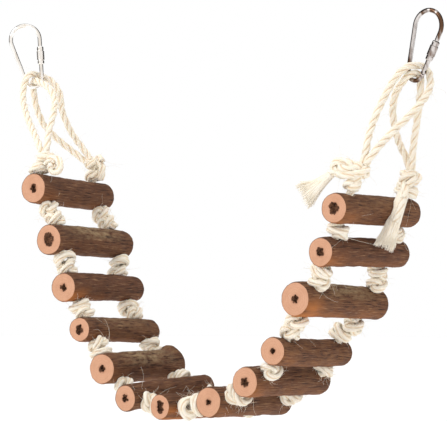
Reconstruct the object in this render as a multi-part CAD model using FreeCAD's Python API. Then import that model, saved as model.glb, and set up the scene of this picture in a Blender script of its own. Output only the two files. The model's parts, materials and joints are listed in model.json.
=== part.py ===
import FreeCAD, Part

# Hanging ladder of thirteen bark-covered twigs on two knotted sisal ropes, hung from two
# pear-shaped screw-lock hooks.  Millimetres.  +X runs from the left hook to the right hook,
# +Y runs along the twigs (the near side is -Y) and +Z is up.  The origin is the point inside
# the left hook's wide bend where the hook sits on whatever carries it.
import math
import os
from collections import namedtuple

from FreeCAD import Placement, Rotation, Vector

os.makedirs("parts", exist_ok=True)

# ---------------------------------------------------------------- driving dimensions
RUNG_LENGTH = 100.0
ROPE_SPACING = 72.0          # between the two side ropes
ROPE_DIAMETER = 5.0
ROPE_HOLE_RADIUS = 2.9       # cross hole drilled through a twig for the rope
PITH_DEPTH = 9.0
RIM_CHAMFER = 0.5
FIRST_RUNG_X = 48.0
FIRST_RUNG_Z = -140.0

# Each twig: its diameter, the heading of the ropes through it (degrees above +X), how far it
# skews along the ropes and twists out of the ladder's plane (degrees), the radius of its pith
# hole, and half of the gap to the next twig.
Rung = namedtuple("Rung", "diameter heading skew twist pith half_gap")
RUNGS = [
    Rung(23.5, -61, -1.5, -4.5, 2.6, 10.5),
    Rung(24.0, -71, -0.5, -2.5, 4.0, 8.5),
    Rung(22.0, -68, -1.5, -3.5, 2.5, 8.5),
    Rung(19.5, -60, -1.0, -3.5, 2.2, 7.5),
    Rung(24.5, -44, -3.0, -1.5, 2.4, 6.0),
    Rung(20.0, -25, 0.5, 4.5, 2.3, 8.5),
    Rung(20.5, -5, 5.5, 0.5, 3.0, 9.5),
    Rung(22.5, 15, -1.0, -1.0, 2.2, 7.5),
    Rung(23.0, 36, 0.0, -0.5, 2.3, 5.0),
    Rung(21.0, 54, -2.0, 1.0, 2.1, 11.0),
    Rung(25.0, 57, 1.5, -5.0, 2.6, 9.0),
    Rung(21.5, 63, 2.5, -3.0, 2.8, 5.5),
    Rung(22.0, 79, 1.0, -2.5, 3.6, 5.5),
]

# Knots
KNOT_RADIUS = 8.0            # across the rope
KNOT_CROWN_RADIUS = 1.5      # small flat where two knots face each other
KNOT_OUTLINE_STEPS = 12
KNOT_SEAT_GAP = 0.2          # between a knot and the bark under it
GAP_BEND = 22.0              # largest bend of one gap either way from straight, degrees
GAP_PLAY = 0.15              # between two knots at the full bend
END_REACH = 5.0              # of a side rope out of an end twig, into its top knot

# Hooks: a wire bent into a pear, wide bend up
WIRE_RADIUS = 1.65
WIDE_BEND = 12.0             # centre line of the wire
NARROW_BEND = 6.8
BEND_SPACING = 33.5          # between the centres of the two bends
HINGE_RISE = 2.0             # gate hinge above the end of the narrow bend
GATE_TOP = 26.5              # gate end above the end of the narrow bend
NOSE_GAP = 0.6               # between the gate's end and the nose it closes on
TAB_THICKNESS = 1.3
TAB_RADIUS = 1.4
SLOT_WIDTH = 1.5
RIVET_RADIUS = 0.6
RIVET_PLAY = 0.05
RIVET_HEAD_RADIUS = 1.0
RIVET_HEAD_HEIGHT = 0.35
SLEEVE_LENGTH = 14.7
SLEEVE_COLLAR_LENGTH = 3.2
SLEEVE_COLLAR_RADIUS = 2.7
SLEEVE_RADIUS = 3.1
SLEEVE_PLAY = 0.07
SPRING_BORE_RADIUS = 0.95
SPRING_BORE_START = 5.0
SPRING_BORE_LENGTH = 6.0
SPRING_RADIUS = 0.65
SPRING_WIRE_RADIUS = 0.15
SPRING_PITCH = 0.75

# Where each hook hangs: centre of its wide bend, the way its plane faces (degrees of turn
# from +X about +Z) and how far its foot leans towards the gate side (degrees).
Hook = namedtuple("Hook", "side x z turn lean")
LEFT_HOOK = Hook("left", 0.0, WIRE_RADIUS - WIDE_BEND, 35.0, 12.5)
RIGHT_HOOK = Hook("right", 382.0, -32.5, -8.0, -20.0)

# End loops: rope routes from one top knot over the hook's narrow bend to the next end.
LEFT_OUTER_ROUTE = [
    (48.0, -36.5, -106.5), (37.0, -29.5, -95.5), (23.5, -22.0, -82.5), (10.0, -14.0, -66.0),
    (5.0, -8.5, -52.0), (7.0, -4.2, -39.0), (3.4, 11.5, -39.0), (12.5, 16.2, -42.0),
    (19.5, 17.5, -49.0), (23.5, 18.5, -57.5), (22.5, 20.0, -67.5), (24.5, 23.5, -78.0),
    (28.5, 29.5, -91.0), (38.0, 36.5, -105.5),
]
LEFT_INNER_ROUTE = [
    (53.5, -34.5, -106.5), (49.0, -28.0, -93.0), (47.5, -20.5, -79.0), (44.5, -13.0, -66.0),
    (32.0, -6.5, -52.5), (10.5, 0.8, -44.6), (1.9, 7.9, -44.6), (0.5, 11.0, -57.0),
    (1.5, 14.5, -69.5), (5.0, 19.5, -82.0), (13.5, 27.0, -92.5), (22.5, 32.5, -101.0), (33.0, 35.5, -109.0),
]
RIGHT_OUTER_ROUTE = [
    (350.5, -36.0, -126.0), (349.5, -31.0, -113.5), (350.5, -22.5, -97.5), (354.5, -14.5, -81.5),
    (361.0, -10.5, -68.0), (368.6, -5.7, -60.0), (375.6, 8.5, -60.0), (379.0, 9.5, -69.5),
    (381.0, 2.5, -80.5), (376.0, -10.0, -94.5), (366.5, -22.0, -108.0), (355.5, -35.5, -126.0),
]
RIGHT_INNER_ROUTE = [
    (345.0, 34.5, -125.5), (342.5, 26.0, -114.0), (343.5, 17.0, -101.5), (347.0, 8.0, -89.5),
    (354.5, -0.5, -78.0), (368.0, -3.5, -65.5), (372.4, 6.8, -65.5), (368.5, 11.5, -82.0),
    (361.5, 19.5, -98.0), (354.0, 27.5, -112.5), (349.5, 33.0, -125.5),
]

# Top knots: ball-shaped lobes (x, y, z, radius) drawn tight on the bark of the end twigs
LEFT_FRONT_KNOT = [(50.5, -36.5, -118.5, 8.0), (46.0, -39.5, -122.0, 5.5), (56.0, -38.0, -117.0, 5.5)]
LEFT_BACK_KNOT = [(44.0, 36.0, -117.5, 8.0), (47.0, 37.5, -124.0, 4.5), (50.0, 36.0, -113.5, 4.5)]
RIGHT_FRONT_KNOT = [(347.0, -36.5, -138.5, 7.5), (336.5, -40.2, -137.3, 5.4), (341.7, -37.4, -145.6, 5.6)]
RIGHT_BACK_KNOT = [(346.0, 35.5, -139.0, 8.0), (343.0, 33.0, -148.0, 5.0)]
LEFT_FRONT_STUB = [(56.0, -38.5, -118.5), (63.0, -40.5, -119.0), (69.0, -41.5, -123.0)]
LEFT_BACK_STUB = [(47.0, 36.5, -121.0), (52.5, 35.0, -121.5), (58.0, 33.5, -124.5)]
RIGHT_FRONT_TAIL = [(332.0, -41.0, -137.5), (327.0, -41.5, -137.5), (318.0, -43.0, -145.0), (305.0, -45.0, -154.5)]
RIGHT_BACK_TAIL = [(347.5, 30.0, -149.5), (352.0, 26.5, -156.0), (353.0, 22.0, -169.0), (349.5, 17.0, -187.0)]
TAIL_TIP_RADIUS = 5.5

ROPE_RADIUS = ROPE_DIAMETER / 2.0
Y_AXIS = Vector(0, 1, 0)


# ---------------------------------------------------------------- shared shapes
def save(shape, node):
    """Write one node's solids to its own file."""
    shape.exportStep(os.path.join("parts", node + ".step"))
    print("%-24s %9.1f mm3  valid %s" % (node, shape.Volume, shape.isValid()))


def heading_vector(degrees):
    """Unit vector in the XZ plane, degrees above +X."""
    return Vector(math.cos(math.radians(degrees)), 0, math.sin(math.radians(degrees)))


def rod(start, direction, length, radius):
    """Plain cylinder from a point along a direction."""
    return Part.makeCylinder(radius, length, start, direction)


def corner_radius(before, corner, after):
    """Bend radius at a corner: 0.45 of the shorter run over the tangent of half the turn."""
    run_in = corner - before
    run_out = after - corner
    half_turn = run_in.getAngle(run_out) / 2.0
    return 0.45 * min(run_in.Length, run_out.Length) / math.tan(half_turn)


def rope_path(points):
    """Straight runs joined by tangent arcs."""
    edges = []
    start = points[0]
    for before, corner, after in zip(points, points[1:], points[2:]):
        run_in = (corner - before).normalize()
        run_out = (after - corner).normalize()
        radius = corner_radius(before, corner, after)
        half_turn = run_in.getAngle(run_out) / 2.0
        setback = radius * math.tan(half_turn)
        arc_start = corner - run_in * setback
        arc_end = corner + run_out * setback
        to_centre = (run_out - run_in).normalize()
        middle = corner + to_centre * (radius / math.cos(half_turn) - radius)
        edges.append(Part.LineSegment(start, arc_start).toShape())
        edges.append(Part.Arc(arc_start, middle, arc_end).toShape())
        start = arc_end
    edges.append(Part.LineSegment(start, points[-1]).toShape())
    return Part.Wire(edges)


def rope_tube(name, route, radius=ROPE_RADIUS):
    """Round tube along a route; prints its bend radii and its volume against its section."""
    points = [Vector(*point) for point in route]
    path = rope_path(points)
    section = Part.Wire(Part.makeCircle(radius, points[0], points[1] - points[0]))
    tube = path.makePipeShell([section], True, False)
    radii = [corner_radius(a, b, c) for a, b, c in zip(points, points[1:], points[2:])]
    expected = math.pi * radius ** 2 * path.Length
    print("%s: length %.1f, bend radii %s" % (name, path.Length, [round(r, 1) for r in radii]))
    print("    volume %.1f, section times length %.1f" % (tube.Volume, expected))
    return tube


# ---------------------------------------------------------------- twigs and their ropes
def rung_centres():
    """Centres of the twigs, stepping along the ropes from one twig to the next."""
    centres = [Vector(FIRST_RUNG_X, 0, FIRST_RUNG_Z)]
    for rung, following in zip(RUNGS, RUNGS[1:]):
        leave = heading_vector(rung.heading) * (rung.diameter / 2.0 + rung.half_gap)
        arrive = heading_vector(following.heading) * (following.diameter / 2.0 + rung.half_gap)
        centres.append(centres[-1] + leave + arrive)
    return centres


def rung_axis(rung):
    """Unit vector along a twig, from its near end to its far end."""
    along = heading_vector(rung.heading)
    across = heading_vector(rung.heading + 90.0)
    skew = math.sin(math.radians(rung.skew))
    twist = math.sin(math.radians(rung.twist))
    return along * skew + across * twist + Y_AXIS * math.sqrt(1.0 - skew ** 2 - twist ** 2)


def point_on_axis(centre, axis, y):
    """Point of a twig's axis at a given distance from the ladder's middle plane."""
    return centre + axis * (y / axis.y)


def make_rung(rung, centre):
    """A twig with a pith hole in each end and two cross holes for the ropes."""
    axis = rung_axis(rung)
    radius = rung.diameter / 2.0
    near_end = centre - axis * (RUNG_LENGTH / 2.0)
    far_end = centre + axis * (RUNG_LENGTH / 2.0)
    body = rod(near_end, axis, RUNG_LENGTH, radius)
    rims = [edge for edge in body.Edges if isinstance(edge.Curve, Part.Circle)]
    body = body.makeChamfer(RIM_CHAMFER, rims)
    along = heading_vector(rung.heading)
    cuts = [rod(near_end, axis, PITH_DEPTH, rung.pith), rod(far_end, axis * -1, PITH_DEPTH, rung.pith)]
    for side in (-1, 1):
        crossing = point_on_axis(centre, axis, side * ROPE_SPACING / 2.0)
        cuts.append(rod(crossing - along * rung.diameter, along, 2 * rung.diameter, ROPE_HOLE_RADIUS))
    return body.cut(cuts)


def knot_half_height(room, offset):
    """Half height of a knot that just clears the gap's middle at the largest bend."""
    slope = math.tan(math.radians(GAP_BEND / 2.0))
    space = room - GAP_PLAY - KNOT_SEAT_GAP - slope * abs(offset)
    return (space ** 2 - (slope * KNOT_RADIUS) ** 2) / (2.0 * space)


def knot_outline(centre_s, half_height, core_side):
    """Outline of a knot in the (radius, distance) plane: its flat crown, then its half-ellipse bulge.

    core_side is 1 where the knot's rope core lies above its centre, or -1 below it.  Returns the
    edges, the crown's distance and the distance at which the bulge meets the rope core.
    """
    crown_angle = math.acos(KNOT_CROWN_RADIUS / KNOT_RADIUS)
    core_angle = math.acos(ROPE_RADIUS / KNOT_RADIUS)
    crown_s = centre_s - core_side * half_height * math.sin(crown_angle)
    core_s = centre_s + core_side * half_height * math.sin(core_angle)
    crown = Vector(KNOT_CROWN_RADIUS, 0, crown_s)
    outline_points = []
    for step in range(KNOT_OUTLINE_STEPS + 1):
        angle = -crown_angle + (crown_angle + core_angle) * step / KNOT_OUTLINE_STEPS
        radius = KNOT_RADIUS * math.cos(angle)
        outline_points.append(Vector(radius, 0, centre_s + core_side * half_height * math.sin(angle)))
    bulge = Part.BSplineCurve()
    bulge.interpolate(outline_points)
    edges = [Part.LineSegment(Vector(0, 0, crown_s), crown).toShape(), bulge.toShape()]
    return edges, crown_s, core_s


def make_rope(rung, centre, side, room_before, room_after):
    """Rope through one twig with a knot on each open side, as one turned solid.

    room_before and room_after are half gaps, or None where a top knot takes over.
    """
    axis = rung_axis(rung)
    radius = rung.diameter / 2.0
    crossing = point_on_axis(centre, axis, side * ROPE_SPACING / 2.0)
    along = heading_vector(rung.heading)
    across = heading_vector(rung.heading + 90.0)
    shift = (crossing - centre).dot(along)
    offset = (crossing - centre).dot(across)
    edges = []
    if room_after is None:
        top = radius + END_REACH
        edges.append(Part.LineSegment(Vector(0, 0, top), Vector(ROPE_RADIUS, 0, top)).toShape())
        top_core = top
    else:
        half = knot_half_height(room_after - shift, offset)
        centre_s = radius + KNOT_SEAT_GAP + half
        knot, top, top_core = knot_outline(centre_s, half, -1)
        edges.extend(knot)
    if room_before is None:
        bottom = -radius - END_REACH
        edges.append(Part.LineSegment(Vector(0, 0, bottom), Vector(ROPE_RADIUS, 0, bottom)).toShape())
        bottom_core = bottom
    else:
        half = knot_half_height(room_before + shift, offset)
        centre_s = -radius - KNOT_SEAT_GAP - half
        knot, bottom, bottom_core = knot_outline(centre_s, half, 1)
        edges.extend(knot)
    core_bottom = Vector(ROPE_RADIUS, 0, bottom_core)
    core_top = Vector(ROPE_RADIUS, 0, top_core)
    edges.append(Part.LineSegment(core_bottom, core_top).toShape())
    edges.append(Part.LineSegment(Vector(0, 0, bottom), Vector(0, 0, top)).toShape())
    outline = Part.Wire(Part.__sortEdges__(edges))
    rope = Part.Face(outline).revolve(Vector(0, 0, 0), Vector(0, 0, 1), 360)
    rope.Placement = Placement(crossing, Rotation(Vector(0, 0, 1), along))
    return rope


def make_top_knot(name, lobes, stub=None):
    """Bulky top knot as tight lobes, with the rope's short cut end where it has one."""
    balls = [Part.makeSphere(radius, Vector(x, y, z)) for x, y, z, radius in lobes]
    knot = balls[0]
    for ball in balls[1:]:
        knot = knot.fuse(ball)
    if stub:
        knot = knot.fuse(rope_tube(name + " cut end", stub, ROPE_RADIUS))
    return knot


def make_tail(name, route):
    """Frayed tail: rope that opens into a brush."""
    neck = rope_tube(name, route[:-1])
    root = Vector(*route[-2])
    tip = Vector(*route[-1])
    brush = Part.makeCone(ROPE_RADIUS, TAIL_TIP_RADIUS, (tip - root).Length, root, tip - root)
    return neck.fuse([brush, Part.makeSphere(ROPE_RADIUS, root)])


# ---------------------------------------------------------------- hooks
def hook_placement(hook):
    """From the hook's own frame (wide bend at the origin, gate towards +X, foot down -Z)."""
    turn = Rotation(Vector(0, 0, 1), hook.turn)
    lean = Rotation(Vector(0, 1, 0), -hook.lean)
    return Placement(Vector(hook.x, 0, hook.z), turn.multiply(lean))


def gate_line():
    """Foot and direction of the hook's gate side, in the hook's own frame."""
    slope = math.asin((WIDE_BEND - NARROW_BEND) / BEND_SPACING)
    outward = Vector(math.cos(slope), 0, -math.sin(slope))
    foot = Vector(0, 0, -BEND_SPACING) + outward * NARROW_BEND
    head = outward * WIDE_BEND
    return foot, (head - foot).normalize(), (head - foot).Length


def bend_point(centre, radius, degrees):
    """Point of a bend, degrees counted from the gate side over the top."""
    angle = math.radians(degrees)
    return centre + Vector(math.cos(angle), 0, math.sin(angle)) * radius


def make_hook_body():
    """Bent wire with the nose the gate closes on and the flattened tab that carries the gate."""
    foot, up, length = gate_line()
    slope = math.degrees(math.asin((WIDE_BEND - NARROW_BEND) / BEND_SPACING))
    wide = Vector(0, 0, 0)
    narrow = Vector(0, 0, -BEND_SPACING)
    nose = foot + up * (GATE_TOP + NOSE_GAP)
    wide_gate = bend_point(wide, WIDE_BEND, -slope)
    wide_spine = bend_point(wide, WIDE_BEND, 180 + slope)
    narrow_spine = bend_point(narrow, NARROW_BEND, 180 + slope)
    narrow_end = bend_point(narrow, NARROW_BEND, 360 - slope)
    path = Part.Wire([
        Part.LineSegment(nose, wide_gate).toShape(),
        Part.Arc(wide_gate, bend_point(wide, WIDE_BEND, 90), wide_spine).toShape(),
        Part.LineSegment(wide_spine, narrow_spine).toShape(),
        Part.Arc(narrow_spine, bend_point(narrow, NARROW_BEND, 270), narrow_end).toShape(),
    ])
    section = Part.Wire(Part.makeCircle(WIRE_RADIUS, nose, up))
    wire = path.makePipeShell([section], True, False)
    hinge = foot + up * HINGE_RISE
    tab = Part.makeBox(2 * TAB_RADIUS, TAB_THICKNESS, HINGE_RISE + 1.0)
    tab.translate(Vector(-TAB_RADIUS, -TAB_THICKNESS / 2.0, -1.0))
    tab = tab.fuse(rod(Vector(0, -TAB_THICKNESS / 2.0, HINGE_RISE), Y_AXIS, TAB_THICKNESS, TAB_RADIUS))
    tab.Placement = Placement(foot, Rotation(Vector(0, 0, 1), up))
    hole = rod(hinge - Y_AXIS * 3, Y_AXIS, 6, RIVET_RADIUS + RIVET_PLAY)
    return wire.fuse(tab).cut(hole)


def make_gate():
    """Gate rod, forked at its foot over the body's tab and bored for its spring."""
    foot, up, _ = gate_line()
    hinge = foot + up * HINGE_RISE
    gate = rod(hinge, up, GATE_TOP - HINGE_RISE, WIRE_RADIUS)
    gate = gate.fuse(Part.makeSphere(WIRE_RADIUS, hinge))
    slot_top = TAB_RADIUS + 0.6
    slot = Part.makeBox(4 * WIRE_RADIUS, SLOT_WIDTH, slot_top + 4 * WIRE_RADIUS)
    slot.translate(Vector(-2 * WIRE_RADIUS, -SLOT_WIDTH / 2.0, -4 * WIRE_RADIUS))
    slot.Placement = Placement(hinge, Rotation(Vector(0, 0, 1), up)).multiply(slot.Placement)
    hole = rod(hinge - Y_AXIS * 3, Y_AXIS, 6, RIVET_RADIUS)
    bore = rod(hinge + up * SPRING_BORE_START, up, SPRING_BORE_LENGTH, SPRING_BORE_RADIUS)
    return gate.cut([slot, hole, bore])


def make_rivet():
    """Rivet through the gate's fork and the body's tab, with a low head on each side."""
    foot, up, _ = gate_line()
    hinge = foot + up * HINGE_RISE
    pin = rod(hinge - Y_AXIS * WIRE_RADIUS, Y_AXIS, 2 * WIRE_RADIUS, RIVET_RADIUS)
    heads = [
        rod(hinge + Y_AXIS * WIRE_RADIUS, Y_AXIS, RIVET_HEAD_HEIGHT, RIVET_HEAD_RADIUS),
        rod(hinge - Y_AXIS * WIRE_RADIUS, Y_AXIS * -1, RIVET_HEAD_HEIGHT, RIVET_HEAD_RADIUS),
    ]
    return pin.fuse(heads)


def make_spring():
    """Small coil spring in the gate's bore that pushes the gate shut."""
    foot, up, _ = gate_line()
    height = SPRING_BORE_LENGTH - 4 * SPRING_WIRE_RADIUS
    helix = Part.makeHelix(SPRING_PITCH, height, SPRING_RADIUS)
    section = Part.Wire(Part.makeCircle(SPRING_WIRE_RADIUS, Vector(SPRING_RADIUS, 0, 0), Y_AXIS))
    coil = Part.Wire(helix.Edges).makePipeShell([section], True, True)
    seat = foot + up * (HINGE_RISE + SPRING_BORE_START + 2 * SPRING_WIRE_RADIUS)
    coil.Placement = Placement(seat, Rotation(Vector(0, 0, 1), up))
    return coil


def make_sleeve():
    """Screw sleeve: a grip between two plain collars, free to run along the gate."""
    foot, up, _ = gate_line()
    start = foot + up * (GATE_TOP - SLEEVE_LENGTH)
    sleeve = rod(start, up, SLEEVE_LENGTH, SLEEVE_COLLAR_RADIUS)
    grip_length = SLEEVE_LENGTH - 2 * SLEEVE_COLLAR_LENGTH
    grip = rod(start + up * SLEEVE_COLLAR_LENGTH, up, grip_length, SLEEVE_RADIUS)
    bore = rod(start - up, up, SLEEVE_LENGTH + 2, WIRE_RADIUS + SLEEVE_PLAY)
    return sleeve.fuse(grip).cut(bore)


HOOK_PIECES = {
    "hook_body": make_hook_body,
    "gate": make_gate,
    "gate_rivet": make_rivet,
    "gate_spring": make_spring,
    "screw_sleeve": make_sleeve,
}


def build_hooks():
    """Both hooks, each piece in its own node."""
    for hook in (LEFT_HOOK, RIGHT_HOOK):
        for piece, make in HOOK_PIECES.items():
            shape = make()
            shape.Placement = hook_placement(hook).multiply(shape.Placement)
            save(shape, hook.side + "_" + piece)


def build_rungs():
    """Twigs and the stretch of rope that each one carries at its near and far side."""
    centres = rung_centres()
    for index, (rung, centre) in enumerate(zip(RUNGS, centres)):
        number = "%02d" % (index + 1)
        save(make_rung(rung, centre), "rung_" + number)
        room_before = RUNGS[index - 1].half_gap if index > 0 else None
        room_after = rung.half_gap if index < len(RUNGS) - 1 else None
        for side, name in ((-1, "front"), (1, "back")):
            rope = make_rope(rung, centre, side, room_before, room_after)
            save(rope, name + "_rope_" + number)


def build_ends():
    """End loops over the hooks, top knots and frayed tails."""
    save(rope_tube("left outer loop", LEFT_OUTER_ROUTE), "left_outer_loop")
    save(rope_tube("left inner loop", LEFT_INNER_ROUTE), "left_inner_loop")
    save(rope_tube("right outer loop", RIGHT_OUTER_ROUTE), "right_outer_loop")
    save(rope_tube("right inner loop", RIGHT_INNER_ROUTE), "right_inner_loop")
    save(make_top_knot("left front knot", LEFT_FRONT_KNOT, LEFT_FRONT_STUB), "left_front_top_knot")
    save(make_top_knot("left back knot", LEFT_BACK_KNOT, LEFT_BACK_STUB), "left_back_top_knot")
    save(make_top_knot("right front knot", RIGHT_FRONT_KNOT), "right_front_top_knot")
    save(make_top_knot("right back knot", RIGHT_BACK_KNOT), "right_back_top_knot")
    save(make_tail("right front tail", RIGHT_FRONT_TAIL), "right_front_tail")
    save(make_tail("right back tail", RIGHT_BACK_TAIL), "right_back_tail")


build_hooks()
build_rungs()
build_ends()
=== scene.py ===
"""Looks of a hanging ladder: bark-covered twigs on knotted sisal ropes, a hook at each end."""

import json
import logging
import math
from dataclasses import dataclass, field
from enum import Enum

import bmesh
import bpy
import numpy as np
from mathutils import Matrix, Vector, noise


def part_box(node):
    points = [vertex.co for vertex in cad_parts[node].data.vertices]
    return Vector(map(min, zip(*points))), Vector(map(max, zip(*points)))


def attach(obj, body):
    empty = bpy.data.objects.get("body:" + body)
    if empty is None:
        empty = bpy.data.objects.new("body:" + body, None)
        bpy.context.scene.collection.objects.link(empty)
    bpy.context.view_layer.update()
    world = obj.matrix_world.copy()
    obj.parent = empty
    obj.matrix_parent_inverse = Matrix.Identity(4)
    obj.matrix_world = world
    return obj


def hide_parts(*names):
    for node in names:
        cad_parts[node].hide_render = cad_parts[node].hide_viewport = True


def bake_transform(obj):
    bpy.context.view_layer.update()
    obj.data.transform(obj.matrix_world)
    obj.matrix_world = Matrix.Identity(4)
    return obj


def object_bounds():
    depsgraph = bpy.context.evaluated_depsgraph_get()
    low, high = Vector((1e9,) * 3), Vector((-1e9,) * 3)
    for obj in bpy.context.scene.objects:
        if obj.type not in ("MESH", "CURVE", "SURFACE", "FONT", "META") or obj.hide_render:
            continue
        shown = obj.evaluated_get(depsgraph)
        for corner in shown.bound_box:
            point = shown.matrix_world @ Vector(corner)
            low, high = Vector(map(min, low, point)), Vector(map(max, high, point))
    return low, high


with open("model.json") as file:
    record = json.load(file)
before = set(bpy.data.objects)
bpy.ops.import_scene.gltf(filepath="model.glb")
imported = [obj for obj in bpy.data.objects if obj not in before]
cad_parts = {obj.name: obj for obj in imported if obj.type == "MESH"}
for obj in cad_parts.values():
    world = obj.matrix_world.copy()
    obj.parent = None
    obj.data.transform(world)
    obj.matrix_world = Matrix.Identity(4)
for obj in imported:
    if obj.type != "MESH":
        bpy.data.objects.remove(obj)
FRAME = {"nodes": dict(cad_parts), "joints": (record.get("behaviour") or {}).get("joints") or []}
CAD_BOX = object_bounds()
LOG = logging.getLogger("ladder")

MM = 0.001
STRAY_REACH = 8.0 * MM
STRAY_LOW = np.array(CAD_BOX[0], float) - STRAY_REACH
STRAY_HIGH = np.array(CAD_BOX[1], float) + STRAY_REACH
BARK_SMOOTHING = math.radians(42)
METAL_SMOOTHING = math.radians(35)
UP = Vector((0.0, 0.0, 1.0))
Point = tuple[float, float, float]


# ---------------------------------------------------------------- small helpers
def deselect_all() -> None:
    """Leave edit mode and clear the selection."""
    if bpy.context.object and bpy.context.object.mode != "OBJECT":
        bpy.ops.object.mode_set(mode="OBJECT")
    bpy.ops.object.select_all(action="DESELECT")


def make_active(obj: bpy.types.Object) -> None:
    """Select one object alone and make it the active one."""
    deselect_all()
    obj.select_set(True)
    bpy.context.view_layer.objects.active = obj


def metres(points: list[Point]) -> list[Vector]:
    """Turn a route written in millimetres into metres."""
    return [Vector(point) * MM for point in points]


def joint_named(name: str) -> dict:
    """The frame's joint of that name."""
    return next(joint for joint in FRAME["joints"] if joint["name"] == name)


def unit(vector: np.ndarray) -> np.ndarray:
    """Unit vectors along the last axis."""
    length = np.linalg.norm(vector, axis=-1, keepdims=True)
    return vector / np.maximum(length, 1e-12)


def ringed_rod(sides: int, radius: float, length: float, cuts: int) -> bpy.types.Object:
    """Add an upright cylinder cut into rings.

    Args:
        sides: faces around it.
        radius: in metres.
        length: in metres.
        cuts: rings cut into its side.

    Returns:
        The cylinder, left in edit mode and ready for faces to be selected.
    """
    deselect_all()
    bpy.ops.mesh.primitive_cylinder_add(
        vertices=sides, radius=radius, depth=length, end_fill_type="NGON"
    )
    rod = bpy.context.active_object
    bpy.ops.object.mode_set(mode="EDIT")
    bpy.ops.mesh.select_mode(type="EDGE")
    bpy.ops.mesh.select_all(action="DESELECT")
    cage = bmesh.from_edit_mesh(rod.data)
    for edge in cage.edges:
        edge.select = abs(edge.verts[0].co.z - edge.verts[1].co.z) > length / 2
    bmesh.update_edit_mesh(rod.data)
    bpy.ops.mesh.subdivide(number_cuts=cuts)
    bpy.ops.mesh.select_mode(type="FACE")
    return rod


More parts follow.
